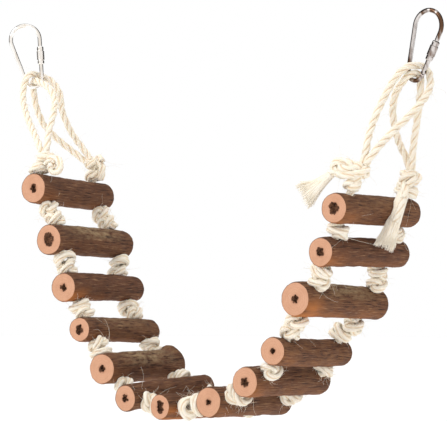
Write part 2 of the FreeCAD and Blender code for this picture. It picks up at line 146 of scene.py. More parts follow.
# ---------------------------------------------------------------- finishes
class NodeSheet:
    """A material's node tree, with short ways to add and join its nodes."""

    def __init__(self, name: str) -> None:
        """Start a material that holds only its shader and output."""
        self.material = bpy.data.materials.new(name)
        self.material.use_nodes = True
        self.tree = self.material.node_tree
        self.tree.nodes.clear()
        self.output = self.tree.nodes.new("ShaderNodeOutputMaterial")
        self.shader = self.tree.nodes.new("ShaderNodeBsdfPrincipled")
        self.join(self.shader.outputs["BSDF"], self.output.inputs["Surface"])

    def join(self, source: bpy.types.NodeSocket, target: bpy.types.NodeSocket) -> None:
        """Link two sockets."""
        self.tree.links.new(source, target)

    def attribute(self, name: str, socket: str) -> bpy.types.NodeSocket:
        """Read a mesh attribute.

        Args:
            name: the attribute's name.
            socket: "Vector", "Fac" or "Color".

        Returns:
            The attribute's output socket.
        """
        node = self.tree.nodes.new("ShaderNodeAttribute")
        node.attribute_name = name
        return node.outputs[socket]

    def patch(self, name: str, pattern: bpy.types.NodeSocket) -> bpy.types.NodeSocket:
        """Break an attribute's patches up with a pattern."""
        return self.maths("MULTIPLY", self.attribute(name, "Fac"), pattern)

    def object_coords(self) -> bpy.types.NodeSocket:
        """The object coordinates."""
        return self.tree.nodes.new("ShaderNodeTexCoord").outputs["Object"]

    def stretch(self, vector: bpy.types.NodeSocket, scale: Point) -> bpy.types.NodeSocket:
        """Scale a vector unevenly, so that a pattern runs along a twig or a fibre."""
        node = self.tree.nodes.new("ShaderNodeMapping")
        node.inputs["Scale"].default_value = scale
        self.join(vector, node.inputs["Vector"])
        return node.outputs["Vector"]

    def noise(
        self,
        vector: bpy.types.NodeSocket,
        scale: float = 1.0,
        detail: float = 4.0,
        rough: float = 0.55,
        seed: bpy.types.NodeSocket | None = None,
    ) -> bpy.types.NodeSocket:
        """Add a noise pattern.

        Args:
            vector: the coordinates it reads.
            scale: cycles per unit of those coordinates.
            detail: number of octaves.
            rough: strength of the finer octaves.
            seed: a socket that picks a different pattern for each piece.

        Returns:
            The pattern's factor socket.
        """
        node = self.tree.nodes.new("ShaderNodeTexNoise")
        node.noise_dimensions = "4D" if seed else "3D"
        node.inputs["Scale"].default_value = scale
        node.inputs["Detail"].default_value = detail
        node.inputs["Roughness"].default_value = rough
        self.join(vector, node.inputs["Vector"])
        if seed:
            self.join(seed, node.inputs["W"])
        return node.outputs["Fac"]

    def ramp(
        self, factor: bpy.types.NodeSocket, stops: list[tuple[float, Point]]
    ) -> bpy.types.NodeSocket:
        """Colour a factor with stops of (position, colour)."""
        node = self.tree.nodes.new("ShaderNodeValToRGB")
        elements = node.color_ramp.elements
        while len(elements) < len(stops):
            elements.new(0.5)
        for element, (position, colour) in zip(elements, stops):
            element.position = position
            element.color = (*colour, 1.0)
        self.join(factor, node.inputs["Fac"])
        return node.outputs["Color"]

    def maths(
        self,
        kind: str,
        first: bpy.types.NodeSocket | float,
        second: bpy.types.NodeSocket | float = 0.0,
    ) -> bpy.types.NodeSocket:
        """Combine two values with a Math node."""
        node = self.tree.nodes.new("ShaderNodeMath")
        node.operation = kind
        for socket, value in zip(node.inputs, (first, second)):
            if isinstance(value, float):
                socket.default_value = value
            else:
                self.join(value, socket)
        return node.outputs["Value"]

    def span(
        self,
        factor: bpy.types.NodeSocket,
        low: float,
        high: float,
        to: tuple[float, float] = (0.0, 1.0),
    ) -> bpy.types.NodeSocket:
        """Map low..high of a factor onto another range, clamped."""
        node = self.tree.nodes.new("ShaderNodeMapRange")
        node.inputs["From Min"].default_value = low
        node.inputs["From Max"].default_value = high
        node.inputs["To Min"].default_value = to[0]
        node.inputs["To Max"].default_value = to[1]
        self.join(factor, node.inputs["Value"])
        return node.outputs["Result"]

    def mix(
        self,
        factor: bpy.types.NodeSocket,
        first: bpy.types.NodeSocket | Point,
        second: bpy.types.NodeSocket | Point,
        kind: str = "MIX",
    ) -> bpy.types.NodeSocket:
        """Mix two colours by a factor."""
        node = self.tree.nodes.new("ShaderNodeMix")
        node.data_type = "RGBA"
        node.blend_type = kind
        self.join(factor, node.inputs["Factor"])
        colours = [socket for socket in node.inputs if socket.type == "RGBA"]
        for socket, value in zip(colours, (first, second)):
            if isinstance(value, tuple):
                socket.default_value = (*value, 1.0)
            else:
                self.join(value, socket)
        return next(socket for socket in node.outputs if socket.type == "RGBA")

    def bump(self, height: bpy.types.NodeSocket, distance: float, strength: float = 1.0) -> None:
        """Drive the shader's normal from a height pattern, in metres."""
        node = self.tree.nodes.new("ShaderNodeBump")
        node.inputs["Distance"].default_value = distance
        node.inputs["Strength"].default_value = strength
        self.join(height, node.inputs["Height"])
        self.join(node.outputs["Normal"], self.shader.inputs["Normal"])

    def colour(self, socket: bpy.types.NodeSocket) -> None:
        """Drive the shader's base colour."""
        self.join(socket, self.shader.inputs["Base Color"])

    def rough(self, socket: bpy.types.NodeSocket) -> None:
        """Drive the shader's roughness."""
        self.join(socket, self.shader.inputs["Roughness"])


@dataclass(frozen=True)
class BarkFinish:
    """Dark brown bark with fine lengthwise ribs, grey-green lichen, orange rubbing near one end and
    the same orange as painted bounce light underneath.
    """

    furrow: Point = (0.034, 0.013, 0.006)
    ground: Point = (0.120, 0.047, 0.022)
    ridge: Point = (0.32, 0.172, 0.088)
    tan: Point = (0.235, 0.108, 0.043)
    lichen: Point = (0.37, 0.275, 0.150)
    rubbed_and_bounce_light: Point = (0.40, 0.135, 0.032)
    rib_depth: float = 0.0007

    def build(self) -> bpy.types.Material:
        """Make the material."""
        sheet = NodeSheet("bark")
        twig = sheet.attribute("twig", "Vector")
        seed = sheet.attribute("tint", "Fac")
        lengthwise = sheet.stretch(twig, (1300.0, 1300.0, 80.0))
        ribs = sheet.noise(lengthwise, detail=4.0, rough=0.6, seed=seed)
        coarse = sheet.stretch(twig, (420.0, 420.0, 130.0))
        flakes = sheet.noise(coarse, detail=6.0, rough=0.7, seed=seed)
        broad = sheet.noise(sheet.stretch(twig, (95.0, 95.0, 32.0)), detail=3.0, seed=seed)
        height = sheet.maths("ADD", ribs, sheet.maths("MULTIPLY", flakes, 0.7))
        rib_tone = sheet.maths("MULTIPLY", ribs, 0.68)
        tone = sheet.maths("ADD", rib_tone, sheet.maths("MULTIPLY", flakes, 0.32))
        stops = [(0.40, self.furrow), (0.475, self.ground), (0.54, self.ground), (0.64, self.ridge)]
        colour = sheet.ramp(tone, stops)
        sunned = sheet.patch("sunned", sheet.span(broad, 0.35, 0.6))
        sunned = sheet.maths("MULTIPLY", sunned, sheet.span(tone, 0.42, 0.56))
        colour = sheet.mix(sunned, colour, self.tan)
        dark = sheet.span(broad, 0.50, 0.70, (0.0, 0.45))
        colour = sheet.mix(dark, colour, (0.050, 0.020, 0.012))
        crust = sheet.patch("lichen", sheet.span(flakes, 0.42, 0.60))
        colour = sheet.mix(crust, colour, self.lichen)
        # orange: real rubbing near one end, plus painted bounce light on every underside
        worn_and_bounce = sheet.patch("wear_and_bounce", sheet.span(broad, 0.30, 0.55))
        colour = sheet.mix(worn_and_bounce, colour, self.rubbed_and_bounce_light)
        sheet.colour(colour)
        sheet.rough(sheet.span(flakes, 0.3, 0.7, (0.66, 0.92)))
        sheet.bump(height, self.rib_depth)
        sheet.shader.inputs["Specular IOR Level"].default_value = 0.3
        return sheet.material


@dataclass(frozen=True)
class SawnWoodFinish:
    """Pinkish sawn end grain with faint growth rings, saw marks and a darker rim."""

    pale: Point = (0.63, 0.345, 0.215)
    warm: Point = (0.47, 0.225, 0.125)
    rim: Point = (0.27, 0.10, 0.045)

    def build(self) -> bpy.types.Material:
        """Make the material."""
        sheet = NodeSheet("sawn_wood")
        twig = sheet.attribute("twig", "Vector")
        seed = sheet.attribute("tint", "Fac")
        ring = sheet.attribute("ring", "Fac")
        wander = sheet.maths("MULTIPLY", sheet.noise(twig, 260.0, 2.0, seed=seed), 0.35)
        growth = sheet.maths("MULTIPLY", sheet.maths("ADD", ring, wander), 30.0)
        growth = sheet.maths("SINE", growth)
        speck = sheet.noise(twig, 2300.0, 3.0, 0.7, seed=seed)
        broad = sheet.noise(twig, 170.0, 3.0, seed=seed)
        shade = sheet.maths("ADD", sheet.maths("MULTIPLY", growth, 0.025), speck)
        colour = sheet.ramp(shade, [(0.36, self.warm), (0.58, self.pale)])
        colour = sheet.mix(sheet.span(broad, 0.45, 0.7, (0.0, 0.45)), colour, self.warm)
        colour = sheet.mix(sheet.span(ring, 0.90, 1.0), colour, self.rim)
        colour = sheet.mix(sheet.span(ring, 0.16, 0.0, (0.0, 0.55)), colour, self.rim)
        sheet.colour(colour)
        marks = sheet.noise(sheet.stretch(twig, (240.0, 1900.0, 240.0)), detail=3.0, seed=seed)
        sheet.bump(sheet.maths("ADD", marks, speck), 0.00012)
        sheet.rough(sheet.span(speck, 0.3, 0.7, (0.72, 0.88)))
        return sheet.material


@dataclass(frozen=True)
class PithFinish:
    """Dark crumbly pith inside the ends of a twig."""

    deep: Point = (0.050, 0.020, 0.010)
    edge: Point = (0.30, 0.130, 0.060)

    def build(self) -> bpy.types.Material:
        """Make the material."""
        sheet = NodeSheet("pith")
        crumbs = sheet.noise(sheet.attribute("twig", "Vector"), 1300.0, 5.0, 0.7)
        sheet.colour(sheet.ramp(crumbs, [(0.44, self.deep), (0.62, self.edge)]))
        sheet.bump(crumbs, 0.0006)
        sheet.rough(sheet.span(crumbs, 0.3, 0.7, (0.85, 0.97)))
        return sheet.material


@dataclass(frozen=True)
class SisalFinish:
    """Cream sisal fibre: fine streaks along each strand, with tan painted shade where the strands
    press together.
    """

    name: str = "sisal"
    painted_crevice_shade: Point = (0.80, 0.56, 0.30)
    pale: Point = (0.97, 0.92, 0.835)
    cream: Point = (0.91, 0.82, 0.665)
    tan: Point = (0.79, 0.57, 0.31)
    glow: float = 0.05
    glow_depth: float = 0.0015

    def build(self) -> bpy.types.Material:
        """Make the material."""
        sheet = NodeSheet(self.name)
        fibre = sheet.attribute("fibre", "Vector")
        streak = sheet.noise(sheet.stretch(fibre, (3300.0, 3300.0, 150.0)), detail=4.0, rough=0.6)
        broad = sheet.noise(sheet.object_coords(), 85.0, 3.0)
        colour = sheet.ramp(streak, [(0.26, self.tan), (0.44, self.cream), (0.64, self.pale)])
        colour = sheet.mix(sheet.span(broad, 0.52, 0.74, (0.0, 0.55)), colour, self.cream)
        # painted shade: where the strands press together the colour is multiplied by a tan shade
        # colour
        colour = sheet.mix(sheet.attribute("painted_crease_shade", "Fac"), colour, self.painted_crevice_shade, "MULTIPLY")
        sheet.colour(colour)
        sheet.bump(streak, 0.00042)
        sheet.rough(sheet.span(streak, 0.3, 0.7, (0.9, 0.7)))
        sheet.shader.inputs["Sheen Weight"].default_value = 0.25
        sheet.shader.inputs["Sheen Roughness"].default_value = 0.5
        sheet.shader.inputs["Subsurface Weight"].default_value = self.glow
        sheet.shader.inputs["Subsurface Radius"].default_value = (1.0, 0.6, 0.3)
        sheet.shader.inputs["Subsurface Scale"].default_value = self.glow_depth
        return sheet.material


@dataclass(frozen=True)
class NickelFinish:
    """Bright nickel plate with faint rubbing, and lengthwise bands of painted reflection; the darker
    hook's copy is darkened all over, with brown bands, as painted reflection.
    """

    name: str
    bright: Point
    painted_reflection: Point
    low: float
    high: float

    def build(self) -> bpy.types.Material:
        """Make the material."""
        sheet = NodeSheet(self.name)
        coords = sheet.object_coords()
        # painted reflection: noise stretched along the wire makes lengthwise bands of a darker colour
        reflection_bands = sheet.noise(sheet.stretch(coords, (210.0, 210.0, 60.0)), detail=2.0, rough=0.5)
        scuff = sheet.noise(coords, 2600.0, 3.0, 0.7)
        sheet.colour(sheet.ramp(reflection_bands, [(self.low, self.bright), (self.high, self.painted_reflection)]))
        sheet.rough(sheet.span(scuff, 0.3, 0.75, (0.08, 0.22)))
        sheet.shader.inputs["Metallic"].default_value = 1.0
        return sheet.material


class Finishes:
    """Every material of the ladder, each made once."""

    def __init__(self) -> None:
        """Build the materials."""
        self.bark = BarkFinish().build()
        self.sawn = SawnWoodFinish().build()
        self.pith = PithFinish().build()
        self.sisal = SisalFinish().build()
        # painted light: a paler copy of the sisal for the frayed brushes, standing in for light that
        # passes through thin fibres
        self.painted_light_sisal = SisalFinish(
            name="painted_light_sisal",
            pale=(0.97, 0.925, 0.84),
            cream=(0.93, 0.85, 0.71),
            tan=(0.84, 0.68, 0.44),
            glow=0.0,
        ).build()
        self.bright_nickel = NickelFinish(
            "bright_nickel", (0.93, 0.91, 0.88), (0.66, 0.58, 0.48), 0.45, 0.78
        ).build()
        # painted reflection: the right hook is the same nickel, darkened and banded brown to stand in
        # for what it reflects
        self.painted_reflection_nickel = NickelFinish(
            "painted_reflection_nickel", (0.60, 0.56, 0.54), (0.13, 0.070, 0.042), 0.42, 0.58
        ).build()


# ---------------------------------------------------------------- studio
@dataclass
class Studio:
    """Plain pale floor, soft light and the camera."""

    camera_place: Vector = field(default_factory=lambda: Vector((1.0786, -1.2562, -0.2504)))
    aim: Vector = field(default_factory=lambda: Vector((0.2015, 0.0, -0.160)))
    lens: float = 160.27
    floor_drop: float = 0.10
    floor_size: float = 60.0
    wall_shade: float = 0.02

    def place_camera(self) -> None:
        """Set up the camera that looks at the ladder's middle."""
        data = bpy.data.cameras.new("camera")
        data.lens = self.lens
        data.sensor_width = 36.0
        data.clip_end = 200.0
        camera = bpy.data.objects.new("camera", data)
        camera.location = self.camera_place
        camera.rotation_euler = (self.aim - self.camera_place).to_track_quat("-Z", "Y").to_euler()
        bpy.context.scene.collection.objects.link(camera)
        bpy.context.scene.camera = camera

    def lay_floor(self) -> None:
        """Lay the pale floor below the lowest twig."""
        deselect_all()
        level = CAD_BOX[0][2] - self.floor_drop
        bpy.ops.mesh.primitive_plane_add(size=self.floor_size, location=(0.2, 0.0, level))
        floor = bpy.context.active_object
        floor.name = "floor"
        sheet = NodeSheet("floor")
        mottle = sheet.noise(sheet.object_coords(), 3.0, 2.0)
        sheet.colour(sheet.ramp(mottle, [(0.3, (0.93, 0.93, 0.925)), (0.7, (0.95, 0.95, 0.945))]))
        sheet.shader.inputs["Roughness"].default_value = 0.9
        floor.data.materials.append(sheet.material)

    def add_lamp(self, name: str, place: Point, power: float, size: float) -> None:
        """Hang one soft area lamp that faces the ladder."""
        data = bpy.data.lights.new(name, "AREA")
        data.energy = power
        data.size = size
        lamp = bpy.data.objects.new(name, data)
        lamp.location = place
        lamp.rotation_euler = (self.aim - Vector(place)).to_track_quat("-Z", "Y").to_euler()
        bpy.context.scene.collection.objects.link(lamp)

    def light(self) -> None:
        """Light the ladder from the front left and from above, in a white room."""
        self.paint_room()
        bpy.context.scene.view_settings.view_transform = "Standard"
        self.add_lamp("key", (-0.45, -1.2, 0.85), 8.5, 0.8)
        data = bpy.data.lights.new("ceiling", "SUN")
        data.energy = 0.7
        data.angle = math.radians(60)
        ceiling = bpy.data.objects.new("ceiling", data)
        bpy.context.scene.collection.objects.link(ceiling)

    def paint_room(self) -> None:
        """Make a white room with darker side walls, which draw thin dark lines on bright metal."""
        world = bpy.data.worlds.new("room")
        world.use_nodes = True
        tree = world.node_tree
        backdrop = tree.nodes["Background"]
        coords = tree.nodes.new("ShaderNodeTexCoord")
        facing = tree.nodes.new("ShaderNodeVectorMath")
        facing.operation = "DOT_PRODUCT"
        facing.inputs[1].default_value = (self.camera_place - self.aim).normalized()
        tree.links.new(coords.outputs["Generated"], facing.inputs[0])
        shift = tree.nodes.new("ShaderNodeMath")
        shift.operation = "MULTIPLY_ADD"
        shift.inputs[1].default_value = 0.5
        shift.inputs[2].default_value = 0.5
        tree.links.new(facing.outputs["Value"], shift.inputs[0])
        walls = tree.nodes.new("ShaderNodeValToRGB")
        stops = walls.color_ramp.elements
        shades = [(0.015, 0.8), (0.03, self.wall_shade), (0.56, self.wall_shade), (0.64, 1.0)]
        while len(stops) < len(shades):
            stops.new(0.5)
        for stop, (place, shade) in zip(stops, shades):
            stop.position = place
            stop.color = (shade, shade * 0.97, shade * 0.94, 1.0)
        tree.links.new(shift.outputs["Value"], walls.inputs["Fac"])
        seen = tree.nodes.new("ShaderNodeLightPath")
        choice = tree.nodes.new("ShaderNodeMix")
        choice.data_type = "RGBA"
        colours = [socket for socket in choice.inputs if socket.type == "RGBA"]
        colours[0].default_value = (1.0, 1.0, 1.0, 1.0)
        tree.links.new(seen.outputs["Is Glossy Ray"], choice.inputs["Factor"])
        tree.links.new(walls.outputs["Color"], colours[1])
        mixed = next(socket for socket in choice.outputs if socket.type == "RGBA")
        tree.links.new(mixed, backdrop.inputs["Color"])
        bpy.context.scene.world = world

    def build(self) -> None:
        """Set the whole studio up."""
        self.place_camera()
        self.lay_floor()
        self.light()


# ---------------------------------------------------------------- rope work
class MeshHeap:
    """Vertices, faces and attributes gathered until they become one object."""

    def __init__(self) -> None:
        """Start empty."""
        self.points: list[np.ndarray] = []
        self.fibres: list[np.ndarray] = []
        self.painted_crease_shades: list[np.ndarray] = []
        self.faces: list[list[int]] = []
        self.count = 0

    def add_tube(self, rings: np.ndarray, fibre: np.ndarray, painted_crease_shade: np.ndarray) -> None:
        """Add a tube, with both ends closed by a fan.

        Args:
            rings: points of shape (stations, sides, 3).
            fibre: pattern coordinates of the same shape.
            painted_crease_shade: how much painted shade each point gets for lying between strands,
                (stations, sides).
        """
        stations, sides, _ = rings.shape
        base = self.count
        self.points.append(rings.reshape(-1, 3))
        self.fibres.append(fibre.reshape(-1, 3))
        self.painted_crease_shades.append(painted_crease_shade.reshape(-1))
        self.count += stations * sides
        for station in range(stations - 1):
            row = base + station * sides
            for side in range(sides):
                after = (side + 1) % sides
                above = row + sides
                self.faces.append([row + side, row + after, above + after, above + side])
        for station, flip in ((0, True), (stations - 1, False)):
            row = base + station * sides
            self.points.append(rings[station].mean(0)[None])
            self.fibres.append(fibre[station].mean(0)[None])
            self.painted_crease_shades.append(np.zeros(1))
            for side in range(sides):
                after = (side + 1) % sides
                face = [row + side, row + after, self.count]
                self.faces.append(face[::-1] if flip else face)
            self.count += 1

    def bake(self, name: str, material: bpy.types.Material) -> bpy.types.Object:
        """Make one smooth object of everything gathered."""
        mesh = bpy.data.meshes.new(name)
        mesh.from_pydata(np.concatenate(self.points).tolist(), [], self.faces)
        fibre = mesh.attributes.new("fibre", "FLOAT_VECTOR", "POINT")
        fibre.data.foreach_set("vector", np.concatenate(self.fibres).astype(np.float32).ravel())
        painted_crease_shade = mesh.attributes.new("painted_crease_shade", "FLOAT", "POINT")
        painted_crease_shade.data.foreach_set("value", np.concatenate(self.painted_crease_shades).astype(np.float32))
        mesh.materials.append(material)
        mesh.shade_smooth()
        obj = bpy.data.objects.new(name, mesh)
        bpy.context.scene.collection.objects.link(obj)
        return obj


def spline_points(route: list[Vector], resolution: int = 8) -> np.ndarray:
    """Read evenly spaced points from a NURBS spline.

    Args:
        route: the spline's control points, in metres.
        resolution: points read for each control point.

    Returns:
        Points along the smooth line, shape (n, 3).
    """
    curve = bpy.data.curves.new("route", "CURVE")
    curve.dimensions = "3D"
    curve.resolution_u = resolution
    spline = curve.splines.new("NURBS")
    spline.points.add(len(route) - 1)
    for spot, place in zip(spline.points, route):
        spot.co = (*place, 1.0)
    spline.order_u = 3
    spline.use_endpoint_u = True
    holder = bpy.data.objects.new("route", curve)
    bpy.context.scene.collection.objects.link(holder)
    bpy.context.view_layer.update()
    line = bpy.data.meshes.new_from_object(holder)
    points = np.array([vertex.co for vertex in line.vertices], float).reshape(-1, 3)
    bpy.data.objects.remove(holder)
    bpy.data.curves.remove(curve)
    bpy.data.meshes.remove(line)
    return points


def resample(points: np.ndarray, step: float) -> np.ndarray:
    """Space a line's points evenly, about one step apart."""
    runs = np.linalg.norm(np.diff(points, axis=0), axis=1)
    along = np.concatenate([[0.0], np.cumsum(runs)])
    count = max(4, int(along[-1] / step) + 1)
    targets = np.linspace(0.0, along[-1], count)
    return np.stack([np.interp(targets, along, points[:, axis]) for axis in range(3)], axis=1)


def line_length(points: np.ndarray) -> float:
    """Length of a line of points."""
    return float(np.linalg.norm(np.diff(points, axis=0), axis=1).sum())


def carried_frames(points: np.ndarray) -> tuple[np.ndarray, np.ndarray]:
    """Two side directions carried along a line without twist."""
    tangents = unit(np.gradient(points, axis=0))
    start = np.array([0.0, 1.0, 0.0]) if abs(tangents[0][1]) < 0.8 else np.array([1.0, 0.0, 0.0])
    normals = np.zeros_like(points)
    normals[0] = unit(start - tangents[0] * start.dot(tangents[0]))
    for index in range(1, len(points)):
        carried = normals[index - 1]
        normals[index] = unit(carried - tangents[index] * carried.dot(tangents[index]))
    return normals, np.cross(tangents, normals)


def circle_directions(points: np.ndarray, sides: int) -> np.ndarray:
    """Unit directions all around a line, shape (points, sides, 3)."""
    normal, side = carried_frames(points)
    around = np.linspace(0, 2 * math.pi, sides, endpoint=False)
    cosine = np.cos(around)[None, :, None] * normal[:, None]
    return cosine + np.sin(around)[None, :, None] * side[:, None]


@dataclass(frozen=True)
class RopeLay:
    """Three strands laid into one rope."""

    diameter: float = 0.005
    pitch: float = 0.0165
    sides: int = 12
    step: float = 0.0011
    strand_share: float = 0.262
    fullness: float = 1.17
    wobble: float = 0.22
    wobble_step: float = 0.006
    yarns: int = 5
    yarn_twist: float = 420.0
    yarn_relief: float = 0.045

    def twist(self, heap: MeshHeap, line: np.ndarray, seed: int) -> np.ndarray:
        """Lay three strands along a line.

        Args:
            heap: where the strands go.
            line: points that the rope follows.
            seed: picks the unevenness.

        Returns:
            The evenly spaced points that the strands follow.
        """
        rng = np.random.default_rng(seed)
        path = resample(line, self.step)
        normal, side = carried_frames(path)
        along = np.arange(len(path)) * (line_length(path) / (len(path) - 1))
        strand = self.diameter * self.strand_share * self.fullness
        offset = self.diameter / 2.0 * self.fullness - strand
        marks = np.arange(0, along[-1] + 0.02, self.wobble_step)
        wobble = np.interp(along, marks, rng.normal(0.0, self.wobble, len(marks)))
        around = np.linspace(0.0, 2 * math.pi, self.sides, endpoint=False)
        start = rng.uniform(0, 2 * math.pi)
        for number in range(3):
            turn = start + number * 2 * math.pi / 3 + 2 * math.pi * along / self.pitch + wobble
            outward = np.cos(turn)[:, None] * normal + np.sin(turn)[:, None] * side
            swell = 1.0 + 0.05 * np.sin(along * 900.0 + number * 2.1)
            swell = swell + rng.normal(0, 0.012, len(path))
            centre = path + outward * offset
            across = -np.sin(turn)[:, None] * normal + np.cos(turn)[:, None] * side
            radius = (strand * swell)[:, None, None]
            yarn_turn = around[None, :] + along[:, None] * self.yarn_twist
            yarn = 1.0 + self.yarn_relief * np.sin(self.yarns * yarn_turn)
            ring = np.cos(around)[None, :, None] * outward[:, None] * 0.96
            ring = ring + np.sin(around)[None, :, None] * across[:, None] * 1.06
            rings = centre[:, None] + ring * radius * yarn[..., None]
            lean = around[None, :] - along[:, None] * 2 * math.pi / self.pitch
            fibre = np.stack([
                strand * np.cos(lean),
                strand * np.sin(lean),
                np.broadcast_to(along[:, None], lean.shape) + seed * 0.37 + number * 0.11,
            ], axis=-1)
            # painted shade: the inner side of each strand, against the other two, is marked for
            # darkening
            depth = np.clip(0.28 - 0.75 * np.cos(around), 0.0, 1.0)[None, :].repeat(len(path), 0)
            heap.add_tube(rings, fibre, depth)
        return path


@dataclass(frozen=True)
class Fuzz:
    """Stray fibres that stand off a rope."""

    per_metre: float = 620.0
    short: tuple[float, float] = (0.0015, 0.006)
    long: tuple[float, float] = (0.007, 0.017)
    long_share: float = 0.08
    thickness: float = 0.00010
    joints: int = 7
    sides: int = 3

    def hair(
        self, heap: MeshHeap, root: np.ndarray, away: np.ndarray, curl: np.ndarray, length: float
    ) -> None:
        """Add one thin curved fibre."""
        share = np.linspace(0.0, 1.0, self.joints + 1)[:, None]
        points = root + away * length * share + curl * length * share ** 2
        points = points + np.cross(away, curl) * length * 0.13 * np.sin(share * 6.5)
        if (points < STRAY_LOW).any() or (points > STRAY_HIGH).any():
            return
        radius = self.thickness * (1.0 - 0.55 * share)
        rings = points[:, None] + circle_directions(points, self.sides) * radius[..., None]
        heap.add_tube(rings, rings * 0.2, np.zeros(rings.shape[:2]))

    def grow(
        self, heap: MeshHeap, line: np.ndarray, radius: float, seed: int, share: float = 1.0
    ) -> None:
        """Grow fibres all along a line.

        Args:
            heap: where the fibres go.
            line: points of the rope's middle.
            radius: the rope's radius, where the fibres leave it.
            seed: picks the fibres.
            share: portion of the usual number.
        """
        rng = np.random.default_rng(seed)
        normal, side = carried_frames(line)
        tangent = np.cross(normal, side)
        for _ in range(int(self.per_metre * line_length(line) * share)):
            spot = int(rng.integers(2, len(line) - 2))
            turn = rng.uniform(0, 2 * math.pi)
            out = math.cos(turn) * normal[spot] + math.sin(turn) * side[spot]
            away = unit(out * rng.uniform(0.45, 1.0) + tangent[spot] * rng.normal(0, 0.9))
            span = self.long if rng.random() < self.long_share else self.short
            curl = unit(rng.normal(size=3)) * rng.uniform(0.5, 1.5)
            self.hair(heap, line[spot] + out * radius * 0.85, away, curl, rng.uniform(*span))


class KnotStyle(Enum):
    """How the rope goes round inside a knot."""

    OVERHAND = "overhand"
    BARREL = "barrel"


@dataclass(frozen=True)
class Knot:
    """One tight knot on a rope."""

    centre: Vector
    axis: Vector
    radius: float
    height: float
    spin: float
    style: KnotStyle = KnotStyle.OVERHAND
    lean: float = 0.0
    steps: int = 26
    turns: float = 2.2

    def route(self, rope_radius: float) -> list[Vector]:
        """Control points of the rope inside the knot, from one side of it to the other.

        Args:
            rope_radius: of the rope that it is tied in.

        Returns:
            Points in metres.
        """
        along = self.axis.normalized()
        guide = Vector((0.0, 1.0, 0.0)) if abs(along.y) < 0.8 else Vector((1.0, 0.0, 0.0))
        across = along.cross(guide).normalized()
        turn = Matrix.Rotation(self.spin, 3, along)
        across = turn @ across
        tilt = Matrix.Rotation(self.lean, 3, across)
        along = tilt @ along
        other = along.cross(across)
        room = max(self.radius - rope_radius, 0.0)
        rise = max(self.height / 2.0 - rope_radius, 0.0004)
        points = []
        steps = self.steps
        if self.style is KnotStyle.OVERHAND:
            for step in range(steps + 1):
                t = math.pi / 3 + (2 * math.pi - 0.30) * step / steps
                reach = room * (0.68 + 0.32 * math.cos(3 * t))
                level = rise * math.sin(3 * t)
                points.append((reach * math.cos(2 * t), reach * math.sin(2 * t), level))
        else:
            for step in range(steps + 1):
                share = step / steps
                angle = 2 * math.pi * self.turns * share
                reach = room * min(1.0, 5.0 * share + 0.25, 5.0 * (1.0 - share) + 0.25)
                level = rise * (2.0 * share - 1.0) * 1.05 + 0.25 * rise * math.sin(angle * 1.5)
                points.append((reach * math.cos(angle), reach * math.sin(angle), level))
        return [self.centre + across * x + other * y + along * z for x, y, z in points]


# ---------------------------------------------------------------- twigs
@dataclass(frozen=True)
class TwigLook:
    """What sets one twig apart: bow and taper in metres, pith shape, and patches of its bark."""

    pith: float
    ragged: float = 0.30
    bow: float = 0.0005
    taper: float = 0.0
    lichen: float = 0.0
    # orange rubbing near the near end; it also strengthens the painted bounce light underneath
    wear_and_bounce: float = 0.0
    burl: float = 0.0
    sunned: float = 0.2


TWIG_LOOKS = [
    TwigLook(3.0 * MM, ragged=0.55, bow=-0.4 * MM, taper=0.4 * MM, wear_and_bounce=0.2, sunned=0.25),
    TwigLook(5.0 * MM, ragged=0.22, lichen=0.9, taper=0.2 * MM, sunned=0.4),
    TwigLook(2.8 * MM, ragged=0.50, bow=0.9 * MM, taper=0.7 * MM, wear_and_bounce=0.6, sunned=0.15),
    TwigLook(3.5 * MM, ragged=0.45, wear_and_bounce=0.35, lichen=0.4, sunned=0.8),
    TwigLook(2.7 * MM, ragged=0.45, burl=3.6 * MM, lichen=0.9, taper=-0.3 * MM, wear_and_bounce=0.2, sunned=0.5),
    TwigLook(2.9 * MM, ragged=0.50, taper=0.5 * MM, sunned=0.4),
    TwigLook(4.2 * MM, ragged=0.45, wear_and_bounce=1.0, taper=-0.4 * MM, sunned=0.4),
    TwigLook(2.2 * MM, ragged=0.50, taper=0.3 * MM, wear_and_bounce=0.2, sunned=0.5),
    TwigLook(3.2 * MM, ragged=0.60, wear_and_bounce=0.35, bow=0.4 * MM, sunned=0.5),
    TwigLook(1.9 * MM, ragged=0.60, bow=-0.9 * MM, wear_and_bounce=0.2, sunned=0.8),
    TwigLook(2.7 * MM, ragged=0.50, lichen=0.9, wear_and_bounce=0.8, taper=0.5 * MM, sunned=0.7),
    TwigLook(3.4 * MM, ragged=0.35, wear_and_bounce=0.45, taper=0.2 * MM, sunned=0.1),
    TwigLook(4.1 * MM, ragged=0.40, bow=0.3 * MM, taper=0.1 * MM, wear_and_bounce=0.3, lichen=0.15, sunned=0.7),
]


